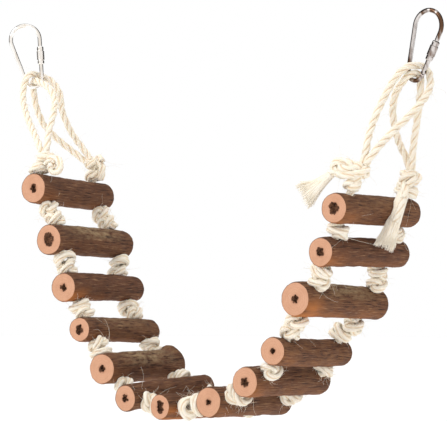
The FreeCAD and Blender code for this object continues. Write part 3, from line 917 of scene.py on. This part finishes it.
@dataclass
class Twig:
    """One bark-covered twig: its place is read from the frame, its surface is modelled here."""

    number: int
    look: TwigLook
    finishes: Finishes
    sides: int = 128
    cuts: int = 63
    rim: float = 0.75 * MM
    pith_depth: float = 3.6 * MM
    hole_radius: float = 2.6 * MM
    rope_spacing: float = 72.0 * MM
    lump: float = 0.55
    ripple: float = 0.22
    rib: float = 0.16
    edge_loss: float = 0.45
    saw_mark: float = 0.10

    def __post_init__(self) -> None:
        """Read the twig's place, direction and size from its node."""
        node = FRAME["nodes"][self.node]
        low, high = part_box(self.node)
        self.centre = (low + high) / 2.0
        spots = np.array([vertex.co for vertex in node.data.vertices], float).reshape(-1, 3)
        spots = np.unique(np.round(spots, 7), axis=0)
        near = spots[spots[:, 1] < low.y + 4.0 * MM].mean(0)
        far = spots[spots[:, 1] > high.y - 4.0 * MM].mean(0)
        self.axis = Vector(far - near).normalized()
        offsets = spots - np.array(self.centre)
        lengthwise = offsets @ np.array(self.axis)
        self.length = float(lengthwise.max() - lengthwise.min())
        sideways = offsets - lengthwise[:, None] * np.array(self.axis)
        self.radius = float(np.linalg.norm(sideways, axis=1).max())
        across = self.axis.cross(UP).normalized()
        upward = across.cross(self.axis).normalized()
        self.placement = Matrix.Translation(self.centre) @ Matrix(
            (across, upward, self.axis)
        ).transposed().to_4x4()
        if self.placement.determinant() < 0:
            self.placement = Matrix.Translation(self.centre) @ Matrix(
                (-across, upward, self.axis)
            ).transposed().to_4x4()

    @property
    def node(self) -> str:
        """The CAD node that this twig stands for."""
        return f"rung_{self.number:02d}"

    def crossing(self, side: int) -> Vector:
        """Where the near (-1) or far (+1) side rope crosses the twig's middle line."""
        return self.centre + self.axis * (side * self.rope_spacing / 2.0 / self.axis.y)

    def blank(self) -> bpy.types.Object:
        """A finely cut rod with rings and a pith hollow in each end."""
        rod = ringed_rod(self.sides, self.radius, self.length, self.cuts)
        for sign in (-1, 1):
            self.open_end(rod, sign)
        bpy.ops.object.mode_set(mode="OBJECT")
        return rod

    def open_end(self, rod: bpy.types.Object, sign: int) -> None:
        """Inset one end into rim, sawn rings and a ragged pith hollow."""
        bpy.ops.mesh.select_all(action="DESELECT")
        cage = bmesh.from_edit_mesh(rod.data)
        for face in cage.faces:
            at_end = face.verts[0].co.z * sign > self.length * 0.49
            face.select = face.normal.z * sign > 0.9 and at_end
        bmesh.update_edit_mesh(rod.data)
        bpy.ops.mesh.inset(thickness=self.rim)
        band = (self.radius - self.rim - self.look.pith * 1.25) / 4.0
        for _ in range(4):
            bpy.ops.mesh.inset(thickness=band)
        bpy.ops.mesh.inset(thickness=self.look.pith * 0.12)
        self.shape_pith(rod, sign, 1.0)
        bpy.ops.mesh.extrude_region_move(
            TRANSFORM_OT_translate={
                "value": (0.0, 0.0, -sign * self.pith_depth * 0.35), "orient_type": "GLOBAL"
            }
        )
        self.shape_pith(rod, sign + 5, 0.92)
        bpy.ops.mesh.extrude_region_move(
            TRANSFORM_OT_translate={
                "value": (0.0, 0.0, -sign * self.pith_depth * 0.65), "orient_type": "GLOBAL"
            }
        )
        self.shape_pith(rod, sign + 9, 0.6)

    def shape_pith(self, rod: bpy.types.Object, seed: int, scale: float) -> None:
        """Move the selected ring onto the pith's ragged outline."""
        cage = bmesh.from_edit_mesh(rod.data)
        ring = {vertex for face in cage.faces if face.select for vertex in face.verts}
        for vertex in ring:
            angle = math.atan2(vertex.co.y, vertex.co.x)
            spot = Vector((math.cos(angle), math.sin(angle), self.number * 3.7 + (seed > 0)))
            wave = noise.noise(spot * 1.4) * 1.5 + 0.55 * noise.noise(spot * 4.5)
            wave += 0.30 * noise.noise(spot * 11.0)
            reach = self.look.pith * scale * max(0.35, 1.0 + self.look.ragged * wave)
            vertex.co.x = reach * math.cos(angle)
            vertex.co.y = reach * math.sin(angle) * 1.12
        bmesh.update_edit_mesh(rod.data)

    def weather(self, rod: bpy.types.Object) -> None:
        """Give the rod a twig's uneven outline, ribs, bow and saw-cut ends."""
        half = self.length / 2.0
        shift = Vector((0.0, 0.0, self.number * 17.3))
        for vertex in rod.data.vertices:
            x, y, z = vertex.co
            reach = math.hypot(x, y)
            share = min(1.0, reach / self.radius)
            angle = math.atan2(y, x)
            ring = Vector((math.cos(angle), math.sin(angle), z / self.radius))
            lump = noise.noise(ring * 0.9 + shift) * self.lump * MM
            lump += noise.noise(ring * 2.6 + shift) * self.ripple * MM
            fine = Vector((ring.x * 9.5, ring.y * 9.5, z * 75.0)) + shift
            rib = noise.noise(fine) * self.rib * MM
            rib += noise.noise(fine * 2.1) * self.rib / 2 * MM
            grow = -self.look.taper * z / half + lump + rib - 0.12 * MM
            if self.look.burl:
                upward = max(0.0, math.sin(angle)) ** 1.8
                place = math.exp(-(((z - 0.885 * half) / (0.10 * half)) ** 2))
                grow += self.look.burl * upward * place
            edge = max(0.0, 1.0 - (half - abs(z)) / (0.9 * MM)) if share > 0.97 else 0.0
            grow -= self.edge_loss * MM * edge ** 2
            factor = 1.0 + grow * share ** 3 / max(reach, 0.2 * self.radius)
            vertex.co.x = x * factor
            vertex.co.y = y * factor + self.look.bow * (1.0 - (z / half) ** 2)
            if abs(z) > half - 0.01 * MM:
                grain = Vector((x * 120.0, y * 900.0, self.number * 2.0))
                saw = noise.noise(grain) * self.saw_mark * MM
                vertex.co.z = z + saw * (1.0 - share ** 6)

    def drill(self, rod: bpy.types.Object) -> None:
        """Cut the two cross holes that the side ropes go through."""
        turn = self.placement.inverted().to_3x3()
        for side in (-1, 1):
            deselect_all()
            spot = self.placement.inverted() @ self.crossing(side)
            lean = (turn @ self.heading).to_track_quat("Z", "Y").to_euler()
            bpy.ops.mesh.primitive_cylinder_add(
                vertices=24,
                radius=self.hole_radius,
                depth=self.radius * 3,
                location=spot,
                rotation=lean,
            )
            bit = bpy.context.active_object
            make_active(rod)
            cutter = rod.modifiers.new("hole", "BOOLEAN")
            cutter.operation = "DIFFERENCE"
            cutter.solver = "FAST"
            cutter.object = bit
            bpy.ops.object.modifier_apply(modifier=cutter.name)
            bpy.data.meshes.remove(bit.data)

    def paint(self, rod: bpy.types.Object) -> None:
        """Store the attributes that the finishes read and give each face its material."""
        mesh = rod.data
        spots = np.array([vertex.co for vertex in mesh.vertices], float)
        reach = np.hypot(spots[:, 0], spots[:, 1])
        lowered = spots / (self.length / 2.0)
        angle = np.arctan2(spots[:, 1], spots[:, 0])
        upper = np.clip(np.sin(angle), 0, 1)
        lichen = self.look.lichen * upper ** 0.7 * np.clip(1.25 - np.abs(lowered[:, 2]) * 1.3, 0, 1)
        # real rubbing: orange on the lower side towards the near end
        below = np.clip(-np.sin(angle) * 1.4 + 0.35, 0, 1)
        wear_and_bounce = self.look.wear_and_bounce * below * np.clip(-lowered[:, 2] * 3.2 - 1.6, 0, 1)
        # painted bounce light: every twig's underside gets orange too, standing in for light
        # reflected up from the floor
        wear_and_bounce = wear_and_bounce + (0.12 + 0.45 * self.look.wear_and_bounce) * np.clip(-np.sin(angle) * 1.5 - 0.5, 0, 1)
        ring = (reach - self.look.pith) / (self.radius - self.look.pith)
        vector = mesh.attributes.new("twig", "FLOAT_VECTOR", "POINT")
        vector.data.foreach_set("vector", spots.astype(np.float32).ravel())
        values = {
            "tint": np.full(len(spots), self.number * 1.7),
            "sunned": np.full(len(spots), self.look.sunned),
            "lichen": lichen,
            "wear_and_bounce": np.clip(wear_and_bounce, 0, 1),
            "ring": np.clip(ring, 0, 1),
        }
        for name, value in values.items():
            attribute = mesh.attributes.new(name, "FLOAT", "POINT")
            attribute.data.foreach_set("value", value.astype(np.float32))
        for material in (self.finishes.bark, self.finishes.sawn, self.finishes.pith):
            mesh.materials.append(material)
        end = self.length / 2.0 - 0.35 * MM
        for face in mesh.polygons:
            middle = face.center
            out = math.hypot(middle.x, middle.y)
            flat = abs(face.normal.z) > 0.7 and abs(middle.z) > end
            inner = out < self.look.pith * 1.6 and not flat
            if flat and out < self.radius - self.rim:
                face.material_index = 1
            elif inner:
                face.material_index = 2

    def build(self) -> bpy.types.Object:
        """Model, finish and place the twig."""
        rod = self.blank()
        rod.name = f"twig_{self.number:02d}"
        self.paint(rod)
        self.weather(rod)
        self.drill(rod)
        make_active(rod)
        rod.matrix_world = self.placement
        bpy.ops.object.transform_apply(location=True, rotation=True, scale=True)
        bpy.ops.object.shade_smooth_by_angle(angle=BARK_SMOOTHING)
        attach(rod, self.node)
        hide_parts(self.node)
        return rod


class TwigRow:
    """All the twigs, with the way the ropes run through each."""

    def __init__(self, finishes: Finishes) -> None:
        """Read the twigs and the hinge points between them from the frame."""
        self.twigs = [Twig(index + 1, look, finishes) for index, look in enumerate(TWIG_LOOKS)]
        self.hinges = []
        for index in range(len(self.twigs) - 1):
            self.hinges.append(Vector(joint_named(f"gap_{index + 1:02d}")["pos_m"]))
        for index, twig in enumerate(self.twigs):
            before = self.hinges[index - 1] if index > 0 else twig.centre
            after = self.hinges[index] if index < len(self.hinges) else twig.centre
            twig.heading = (after - before).normalized()

    def build(self) -> None:
        """Build every twig."""
        for twig in self.twigs:
            twig.build()
            LOG.info("%s: radius %.1f mm", twig.node, twig.radius / MM)


# ---------------------------------------------------------------- side ropes
@dataclass
class GapKnots:
    """The rope and knots of one gap, on one side; gaps count from 0 at the left hook."""

    row: TwigRow
    index: int
    side: int
    finishes: Finishes
    lay: RopeLay = field(default_factory=lambda: RopeLay(diameter=5.0 * MM, pitch=42.0 * MM))
    knot_radius: float = 9.2 * MM
    single_below: float = 12.5 * MM
    frayed_gaps: tuple[int, ...] = (5, 6, 7, 8)

    @property
    def name(self) -> str:
        """The piece's name."""
        return f"{'front' if self.side < 0 else 'back'}_knots_{self.index + 1:02d}"

    def knots(self, leave: Vector, arrive: Vector, rng: np.random.Generator) -> list[Knot]:
        """The knots that fill the gap, one in a narrow gap and two stacked in a wide one."""
        run = arrive - leave
        axis = run.normalized()
        sideways = axis.cross(Vector((0.0, 1.0, 0.0))).normalized()
        shares = [0.5] if run.length < self.single_below else [0.26, 0.75]
        knots = []
        for order, share in enumerate(shares):
            height = run.length / len(shares) + 2.6 * MM
            drift = sideways * rng.uniform(0.6, 1.8) * MM * (1 if (order + self.index) % 2 else -1)
            drift += Vector((0.0, 1.0, 0.0)) * rng.uniform(-1.2, 1.2) * MM
            barrel = rng.random() < 0.30
            knots.append(
                Knot(
                    leave + run * share + drift,
                    axis,
                    self.knot_radius * rng.uniform(0.92, 1.04),
                    height,
                    rng.uniform(0, 2 * math.pi),
                    KnotStyle.BARREL if barrel else KnotStyle.OVERHAND,
                    rng.uniform(-0.35, 0.35),
                )
            )
        return knots

    def build(self) -> bpy.types.Object:
        """Lay the rope from twig to twig through its knots."""
        lower, upper = self.row.twigs[self.index], self.row.twigs[self.index + 1]
        seed = 101 + self.index * 2 + (self.side > 0)
        rng = np.random.default_rng(seed)
        leave = lower.crossing(self.side) + lower.heading * (lower.radius + 0.3 * MM)
        arrive = upper.crossing(self.side) - upper.heading * (upper.radius + 0.3 * MM)
        route = [lower.crossing(self.side), leave - lower.heading * 4.0 * MM]
        for knot in self.knots(leave, arrive, rng):
            route.extend(knot.route(self.lay.diameter / 2.0))
        route += [arrive + upper.heading * 4.0 * MM, upper.crossing(self.side)]
        heap = MeshHeap()
        line = self.lay.twist(heap, spline_points(route, 4), seed)
        inner = line[int(len(line) * 0.10): int(len(line) * 0.90)]
        busy = 2.4 if self.index in self.frayed_gaps else 1.0
        Fuzz().grow(heap, inner, self.lay.diameter / 2.0, seed + 500, busy)
        piece = heap.bake(self.name, self.finishes.sisal)
        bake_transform(piece)
        word = "front" if self.side < 0 else "back"
        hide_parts(f"{word}_rope_{self.index + 1:02d}", f"{word}_rope_{self.index + 2:02d}")
        return piece


# ---------------------------------------------------------------- end loops
@dataclass(frozen=True)
class LoopRope:
    """One rope of an end loop, from a top knot over its hook and back, in millimetres."""

    name: str
    node: str
    loops: str
    twig: str
    route: list[Point]
    start_inside: Point
    end_inside: Point
    blend_from: float
    blend_to: float
    pitch: float = 16.5
    seed: int = 0

    def build(self, finishes: Finishes) -> bpy.types.Object:
        points = metres([self.start_inside, *self.route, self.end_inside])
        line = spline_points(points, 10)
        lay = RopeLay(pitch=self.pitch * MM)
        heap = MeshHeap()
        path = lay.twist(heap, line, self.seed)
        piece = heap.bake(self.name, finishes.sisal)
        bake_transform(piece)
        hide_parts(self.node)
        fuzz = MeshHeap()
        sparse = Fuzz(per_metre=420.0, long_share=0.04)
        sparse.grow(fuzz, path[10:-10], lay.diameter / 2.0, self.seed + 7)
        strays = fuzz.bake(self.name + "_strays", finishes.sisal)
        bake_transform(strays)
        return piece


LEFT_BLEND = (-104.0, -111.0)
RIGHT_BLEND = (-123.0, -131.0)
LOOPS = [
    LoopRope(
        "left_outer_rope", "left_outer_loop", "left_loops", "rung_01",
        [
            (48.0, -36.5, -106.5), (37.0, -29.5, -95.5), (23.5, -22.0, -82.5), (10.0, -14.0, -66.0),
            (5.0, -8.5, -52.0), (7.0, -4.2, -39.0), (3.4, 11.5, -39.0), (12.5, 16.2, -42.0),
            (19.5, 17.5, -49.0), (23.5, 18.5, -57.5), (22.5, 20.0, -67.5), (24.5, 23.5, -78.0),
            (28.5, 29.5, -91.0), (38.0, 36.5, -105.5),
        ],
        (50.5, -37.0, -114.0), (42.5, 36.0, -112.0), *LEFT_BLEND, pitch=24.0, seed=11,
    ),
    LoopRope(
        "left_inner_rope", "left_inner_loop", "left_loops", "rung_01",
        [
            (53.5, -34.5, -106.5), (49.0, -28.0, -93.0), (47.5, -20.5, -79.0), (44.5, -13.0, -66.0),
            (32.0, -6.5, -52.5), (10.5, 0.8, -44.6), (1.9, 7.9, -44.6), (0.5, 11.0, -57.0),
            (1.5, 14.5, -69.5), (5.0, 19.5, -82.0), (13.5, 27.0, -92.5), (22.5, 32.5, -101.0),
            (33.0, 35.5, -109.0),
        ],
        (52.0, -36.5, -114.0), (40.0, 36.0, -114.5), *LEFT_BLEND, pitch=26.0, seed=12,
    ),
    LoopRope(
        "right_outer_rope", "right_outer_loop", "right_loops", "rung_13",
        [
            (350.5, -36.0, -126.0), (349.5, -31.0, -113.5), (350.5, -22.5, -97.5),
            (354.5, -14.5, -81.5), (361.0, -10.5, -68.0), (368.6, -5.7, -60.0),
            (375.6, 8.5, -60.0), (379.0, 9.5, -69.5), (381.0, 2.5, -80.5), (376.0, -10.0, -94.5),
            (366.5, -22.0, -108.0), (355.5, -35.5, -126.0),
        ],
        (348.5, -36.5, -133.5), (350.5, -36.5, -134.0), *RIGHT_BLEND, pitch=25.0, seed=13,
    ),
    LoopRope(
        "right_inner_rope", "right_inner_loop", "right_loops", "rung_13",
        [
            (345.0, 34.5, -125.5), (342.5, 26.0, -114.0), (343.5, 17.0, -101.5),
            (347.0, 8.0, -89.5), (354.5, -0.5, -78.0), (368.0, -3.5, -65.5), (372.4, 6.8, -65.5),
            (368.5, 11.5, -82.0), (361.5, 19.5, -98.0), (354.0, 27.5, -112.5),
            (349.5, 33.0, -125.5),
        ],
        (345.5, 36.0, -133.5), (348.0, 35.0, -134.0), *RIGHT_BLEND, pitch=27.0, seed=14,
    ),
]


# ---------------------------------------------------------------- top knots and tails
@dataclass(frozen=True)
class TopKnot:
    """A bulky top knot: knots tied on top of each other, with loose turns and cut ends."""

    name: str
    node: str
    twig: int
    side: int
    knots: list[Knot]
    turns: list[list[Point]] = field(default_factory=list)
    seed: int = 0

    def build(self, row: TwigRow, finishes: Finishes) -> bpy.types.Object:
        """Lay the rope out of the twig, through the knots, and add the loose turns."""
        twig = row.twigs[self.twig - 1]
        sign = 1 if self.twig > 1 else -1
        lay = RopeLay(diameter=5.4 * MM, pitch=44.0 * MM)
        heap = MeshHeap()
        root = twig.crossing(self.side)
        route = [root, root + twig.heading * sign * (twig.radius - 3.0 * MM)]
        for knot in self.knots:
            route.extend(knot.route(lay.diameter / 2.0))
        line = lay.twist(heap, spline_points(route, 4), self.seed)
        fuzz = Fuzz()
        fuzz.grow(heap, line[int(len(line) * 0.1):], lay.diameter / 2.0, self.seed + 60)
        for order, turn in enumerate(self.turns):
            extra = lay.twist(heap, spline_points(metres(turn), 8), self.seed + 20 + order)
            fuzz.grow(heap, extra, lay.diameter / 2.0, self.seed + 80 + order, 1.6)
        piece = heap.bake(self.name, finishes.sisal)
        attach(piece, twig.node)
        word = "front" if self.side < 0 else "back"
        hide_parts(self.node, f"{word}_rope_{self.twig:02d}")
        return piece


def knot_at(
    place: Point, axis: Point, radius: float, height: float, spin: float,
    style: KnotStyle = KnotStyle.OVERHAND,
) -> Knot:
    """A knot given in millimetres."""
    return Knot(Vector(place) * MM, Vector(axis), radius * MM, height * MM, spin, style)


TOP_KNOTS = [
    TopKnot(
        "left_front_knot", "left_front_top_knot", 1, -1,
        [
            knot_at((48.0, -38.0, -123.0), (-0.35, 0.0, 0.94), 9.2, 9.5, 0.4, KnotStyle.BARREL),
            knot_at((54.0, -37.0, -114.0), (-0.2, 0.0, 0.98), 7.8, 10.5, 2.0, KnotStyle.BARREL),
        ],
        [[
            (57.0, -40.0, -120.0), (61.5, -41.5, -116.0), (67.0, -42.0, -115.0),
            (72.5, -42.0, -117.5), (74.5, -42.5, -122.5), (71.0, -43.0, -127.0),
            (65.5, -43.5, -126.0), (65.0, -44.5, -121.5), (69.5, -46.0, -120.5),
        ]],
        seed=31,
    ),
    TopKnot(
        "left_back_knot", "left_back_top_knot", 1, 1,
        [
            knot_at((44.5, 36.0, -123.5), (-0.5, 0.0, 0.87), 8.2, 10.0, 1.1),
            knot_at((44.0, 36.0, -113.5), (-0.1, 0.1, 0.98), 8.0, 10.5, 0.2),
        ],
        [
            [(46.0, 34.0, -116.0), (50.0, 34.0, -110.0), (53.5, 33.5, -108.5), (55.5, 33.0, -112.5)],
            [(50.0, 34.5, -112.0), (55.5, 33.5, -116.0), (56.5, 33.0, -122.0), (53.0, 34.0, -127.0)],
        ],
        seed=32,
    ),
    TopKnot(
        "right_front_knot", "right_front_top_knot", 13, -1,
        [
            knot_at((340.5, -37.5, -148.0), (0.2, 0.0, 0.98), 7.4, 9.0, 0.8),
            knot_at((347.0, -37.0, -137.5), (0.4, 0.0, 0.9), 8.0, 11.0, 2.4),
        ],
        [
            [
                (349.0, -38.0, -140.0), (343.0, -41.0, -133.5), (336.5, -42.5, -130.5),
                (329.0, -42.0, -130.5), (326.0, -40.5, -134.5), (330.5, -42.5, -139.5),
                (338.5, -43.0, -142.0), (346.0, -40.0, -140.0),
            ],
            [
                (346.0, -39.0, -135.0), (338.0, -43.5, -137.5), (332.5, -41.5, -133.5),
                (336.5, -37.5, -131.5), (341.5, -37.5, -135.5), (336.0, -41.5, -139.5),
                (328.5, -42.5, -138.0), (324.0, -42.0, -139.5),
            ],
        ],
        seed=33,
    ),
    TopKnot(
        "right_back_knot", "right_back_top_knot", 13, 1,
        [
            knot_at((343.5, 34.5, -148.5), (0.2, 0.0, 0.98), 9.4, 10.0, 0.1, KnotStyle.BARREL),
            knot_at((346.0, 35.0, -138.5), (0.1, 0.0, 0.99), 9.4, 12.5, 1.5),
        ],
        [[
            (352.0, 33.0, -138.0), (349.0, 29.0, -144.5), (341.0, 29.0, -148.0),
            (339.5, 32.0, -142.0), (345.0, 29.0, -143.0), (349.0, 23.0, -149.5),
            (351.0, 16.5, -156.0),
        ]],
        seed=34,
    ),
]


@dataclass(frozen=True)
class FrayedTail:
    """A rope end that opens into a brush of loose fibres, in millimetres."""

    name: str
    node: str
    neck: list[Point]
    tip: Point
    spread: Point
    fan: Point
    girth: float
    locks: int
    fibres: int
    seed: int
    loose_from: float = 0.45
    over: str = ""

    def build(self, finishes: Finishes) -> bpy.types.Object:
        """Lay the neck and draw the fibres out of it."""
        lay = RopeLay(diameter=4.8 * MM, pitch=30.0 * MM)
        heap = MeshHeap()
        line = lay.twist(heap, spline_points(metres(self.neck), 8), self.seed)
        rng = np.random.default_rng(self.seed)
        self.add_locks(heap, line, lay, rng)
        self.add_fibres(heap, line, lay, rng)
        # the paler sisal copy, with painted light for light through the thin fibres
        piece = heap.bake(self.name, finishes.painted_light_sisal)
        if self.over:
            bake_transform(piece)
        else:
            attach(piece, "rung_13")
        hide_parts(self.node)
        return piece

    def fan_line(self, line: np.ndarray, stations: int) -> np.ndarray:
        """The middle line of the brush, from where the strands come loose to the tip."""
        root = line[int(len(line) * self.loose_from)]
        leave = line[-1] - line[-6]
        tip = np.array(self.tip) * MM
        pull = line[-1] + unit(leave) * np.linalg.norm(tip - line[-1]) * 0.25
        share = np.linspace(0.0, 1.0, stations)[:, None]
        return root * (1 - share) ** 2 + 2 * pull * share * (1 - share) + tip * share ** 2

    def fan_frame(self, middle: np.ndarray) -> tuple[np.ndarray, np.ndarray, np.ndarray]:
        """Directions along the brush, across its width and through its depth."""
        along = unit(np.gradient(middle, axis=0))
        width = np.array(self.spread, float) * MM
        across = unit(width - along * (along @ width)[:, None])
        return along, across, np.cross(along, across)

    @property
    def tip_width(self) -> float:
        """Half the brush's width at its tip, in metres."""
        return float(np.linalg.norm(np.array(self.spread, float) * MM))

    @property
    def tip_depth(self) -> float:
        """Half the brush's depth at its tip, in metres."""
        return float(np.linalg.norm(np.array(self.fan, float) * MM))

    def add_locks(
        self, heap: MeshHeap, line: np.ndarray, lay: RopeLay, rng: np.random.Generator
    ) -> None:
        """Add the locks of fibre that the rope end falls apart into."""
        stations, sides = 24, 28
        middle = self.fan_line(line, stations)
        share = np.linspace(0.0, 1.0, stations)
        along, across, behind = self.fan_frame(middle)
        around = np.linspace(0, 2 * math.pi, sides, endpoint=False)
        opening = share ** 1.3
        for number in range(self.locks):
            angle = 2 * math.pi * (number + rng.uniform(-0.25, 0.25)) / self.locks
            reach = rng.uniform(0.35, 1.0)
            bend = rng.uniform(-0.6, 0.6) * MM * np.sin(share * math.pi * rng.uniform(1.0, 2.5))
            wide = self.girth * MM * 0.27 * (1 - opening) + self.tip_width * 0.85 * reach * opening
            deep = lay.diameter * 0.26 * (1 - opening) + self.tip_depth * 0.60 * opening
            past = along[-1] * rng.uniform(-3.0, 1.0) * MM
            path = middle + across * (wide * math.cos(angle) + bend)[:, None]
            path = path + behind * (deep * math.sin(angle) + 0.5 * bend)[:, None]
            path = path + past * share[:, None] ** 2
            thick = self.girth * MM * 0.25 * (1 - 0.30 * share)
            thick = thick * np.clip((1.08 - share) * 3.2, 0.12, 1.0)
            phase = rng.uniform(0, 6)
            groove = 0.10 * np.sin(7 * around + phase) + 0.07 * np.sin(12 * around + 2 * phase)
            ring = circle_directions(path, sides)
            rings = path[:, None] + ring * (thick[:, None] * (1 + groove[None]))[..., None]
            fibre = ring * 1.4 * MM
            fibre[..., 2] = np.linspace(0, line_length(path), stations)[:, None] + 0.013 * number
            # painted shade: the grooves of each lock are marked for darkening
            painted_crease_shade = np.clip(0.10 - groove * 1.6, 0, 0.4)[None, :].repeat(stations, 0)
            heap.add_tube(rings, fibre, painted_crease_shade)

    def add_fibres(
        self, heap: MeshHeap, line: np.ndarray, lay: RopeLay, rng: np.random.Generator
    ) -> None:
        """Add loose fibres over the brush, some past its tip."""
        middle = self.fan_line(line, 14)
        along, across, behind = self.fan_frame(middle)
        for _ in range(self.fibres):
            first = int(rng.integers(0, 8))
            steps = np.arange(first, len(middle))
            share = (steps / (len(middle) - 1.0))[:, None]
            angle = rng.uniform(0, 2 * math.pi)
            opening = share ** 1.4
            wide = self.girth * MM * 0.51 * (1 - opening) + self.tip_width * 0.92 * opening
            deep = lay.diameter * 0.51 * (1 - opening) + self.tip_depth * 0.68 * opening
            lift = 1.0 + rng.uniform(-0.1, 0.3) * np.linspace(0, 1, len(steps))[:, None] ** 2
            points = middle[first:] + across[first:] * wide * math.cos(angle) * lift
            points = points + behind[first:] * deep * math.sin(angle) * lift
            past = rng.uniform(-3.5, 3.0) * MM * np.linspace(0, 1, len(steps))[:, None] ** 2
            wave = unit(rng.normal(size=3)) * rng.uniform(0.1, 0.8) * MM
            waves = rng.uniform(4.0, 11.0)
            points = points + along[first:] * past + wave * np.sin(share * waves) * share
            thick = rng.uniform(0.10, 0.24) * MM * (1.0 - 0.4 * share)
            rings = points[:, None] + circle_directions(points, 5) * thick[..., None]
            fibre = np.zeros(rings.shape) + rng.uniform(0, 0.05, 3)
            heap.add_tube(rings, fibre, np.zeros(rings.shape[:2]))


TAILS = [
    FrayedTail(
        "front_brush", "right_front_tail",
        [
            (334.0, -41.0, -138.0), (329.0, -41.8, -137.5), (322.5, -42.5, -141.0),
            (317.5, -43.0, -145.5),
        ],
        (304.0, -45.0, -154.5), (5.9, 0.0, -7.1), (0.8, 3.0, 1.5), 6.0, 13, 420, 41,
    ),
    FrayedTail(
        "back_brush", "right_back_tail",
        [(347.0, 24.5, -148.5), (350.8, 17.0, -155.5), (352.4, 9.5, -164.0), (350.5, 4.5, -173.0)],
        (344.5, 0.5, -190.0), (-6.4, -2.0, 1.0), (1.2, 2.8, 2.6), 8.6, 9, 420, 42, 0.10, "rung_12",
    ),
]


# ---------------------------------------------------------------- hooks
@dataclass
class ScrewSleeve:
    """Knurled screw sleeve between two plain collars on a hook's gate."""

    side: str
    material: bpy.types.Material
    sides: int = 96
    cuts: int = 55
    bore: float = 1.72 * MM
    collar: float = 3.2 * MM
    grip_radius: float = 3.1 * MM
    collar_radius: float = 2.7 * MM
    knurl: float = 0.16 * MM

    def build(self) -> bpy.types.Object:
        """Turn, knurl and bore the sleeve."""
        node = f"{self.side}_screw_sleeve"
        axis = Vector(joint_named(f"{self.side}_sleeve_slide")["axis"]).normalized()
        low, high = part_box(node)
        centre = (low + high) / 2.0
        spots = np.array([vertex.co for vertex in FRAME["nodes"][node].data.vertices], float)
        level = (spots.reshape(-1, 3) - np.array(centre)) @ np.array(axis)
        length = float(level.max() - level.min())
        sleeve = ringed_rod(self.sides, self.grip_radius, length, self.cuts)
        cage = bmesh.from_edit_mesh(sleeve.data)
        for face in cage.faces:
            face.select = abs(face.normal.z) > 0.9
        bmesh.update_edit_mesh(sleeve.data)
        bpy.ops.mesh.inset(thickness=self.grip_radius - self.bore, use_individual=True)
        bpy.ops.mesh.delete(type="ONLY_FACE")
        bpy.ops.mesh.select_mode(type="EDGE")
        bpy.ops.mesh.select_all(action="DESELECT")
        cage = bmesh.from_edit_mesh(sleeve.data)
        for edge in cage.edges:
            edge.select = edge.is_boundary
        bmesh.update_edit_mesh(sleeve.data)
        bpy.ops.mesh.bridge_edge_loops()
        bpy.ops.mesh.select_all(action="SELECT")
        bpy.ops.mesh.normals_make_consistent(inside=False)
        bpy.ops.object.mode_set(mode="OBJECT")
        half = length / 2.0
        for vertex in sleeve.data.vertices:
            x, y, z = vertex.co
            reach = math.hypot(x, y)
            if reach < (self.bore + self.collar_radius) / 2.0:
                continue
            from_end = half - abs(z)
            angle = math.atan2(y, x)
            if from_end < self.collar - 0.2 * MM:
                target = self.collar_radius - 0.35 * MM * max(0.0, 1.0 - from_end / (0.45 * MM))
            elif from_end < self.collar + 0.25 * MM:
                target = self.collar_radius - 0.3 * MM
            else:
                right_cut = abs(math.sin(12 * angle + z * 2600.0))
                cut = right_cut * abs(math.sin(12 * angle - z * 2600.0))
                target = self.grip_radius - self.knurl * (1.0 - cut)
            vertex.co.x *= target / reach
            vertex.co.y *= target / reach
        sleeve.name = f"{self.side}_knurled_sleeve"
        sleeve.data.materials.append(self.material)
        make_active(sleeve)
        turn = axis.to_track_quat("Z", "Y").to_matrix().to_4x4()
        sleeve.matrix_world = Matrix.Translation(centre) @ turn
        bpy.ops.object.transform_apply(location=True, rotation=True, scale=True)
        bpy.ops.object.shade_smooth_by_angle(angle=METAL_SMOOTHING)
        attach(sleeve, f"{self.side}_sleeve")
        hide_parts(node)
        return sleeve


@dataclass
class Hook:
    """One hook: its CAD pieces keep their shape and are plated, its sleeve is remade."""

    side: str
    material: bpy.types.Material

    def build(self) -> None:
        """Plate the body, gate, rivet and spring, and remake the sleeve."""
        for piece in ("hook_body", "gate", "gate_rivet", "gate_spring"):
            node = FRAME["nodes"][f"{self.side}_{piece}"]
            node.data.materials.clear()
            node.data.materials.append(self.material)
        ScrewSleeve(self.side, self.material).build()
        LOG.info("%s hook plated", self.side)


# ---------------------------------------------------------------- the ladder
def main() -> None:
    """Build the studio and then the ladder, piece by piece."""
    logging.basicConfig(level=logging.INFO, format="%(name)s: %(message)s")
    Studio().build()
    finishes = Finishes()
    for loop in LOOPS:
        piece = loop.build(finishes)
        LOG.info("%s: %d faces", piece.name, len(piece.data.polygons))
    row = TwigRow(finishes)
    for index in range(len(row.hinges)):
        for side in (-1, 1):
            piece = GapKnots(row, index, side, finishes).build()
            LOG.info("%s: %d faces", piece.name, len(piece.data.polygons))
    for part in TOP_KNOTS:
        LOG.info("%s laid", part.build(row, finishes).name)
    for tail in TAILS:
        LOG.info("%s frayed", tail.build(finishes).name)
    row.build()
    Hook("left", finishes.bright_nickel).build()
    Hook("right", finishes.painted_reflection_nickel).build()


if __name__ == "__main__":
    main()
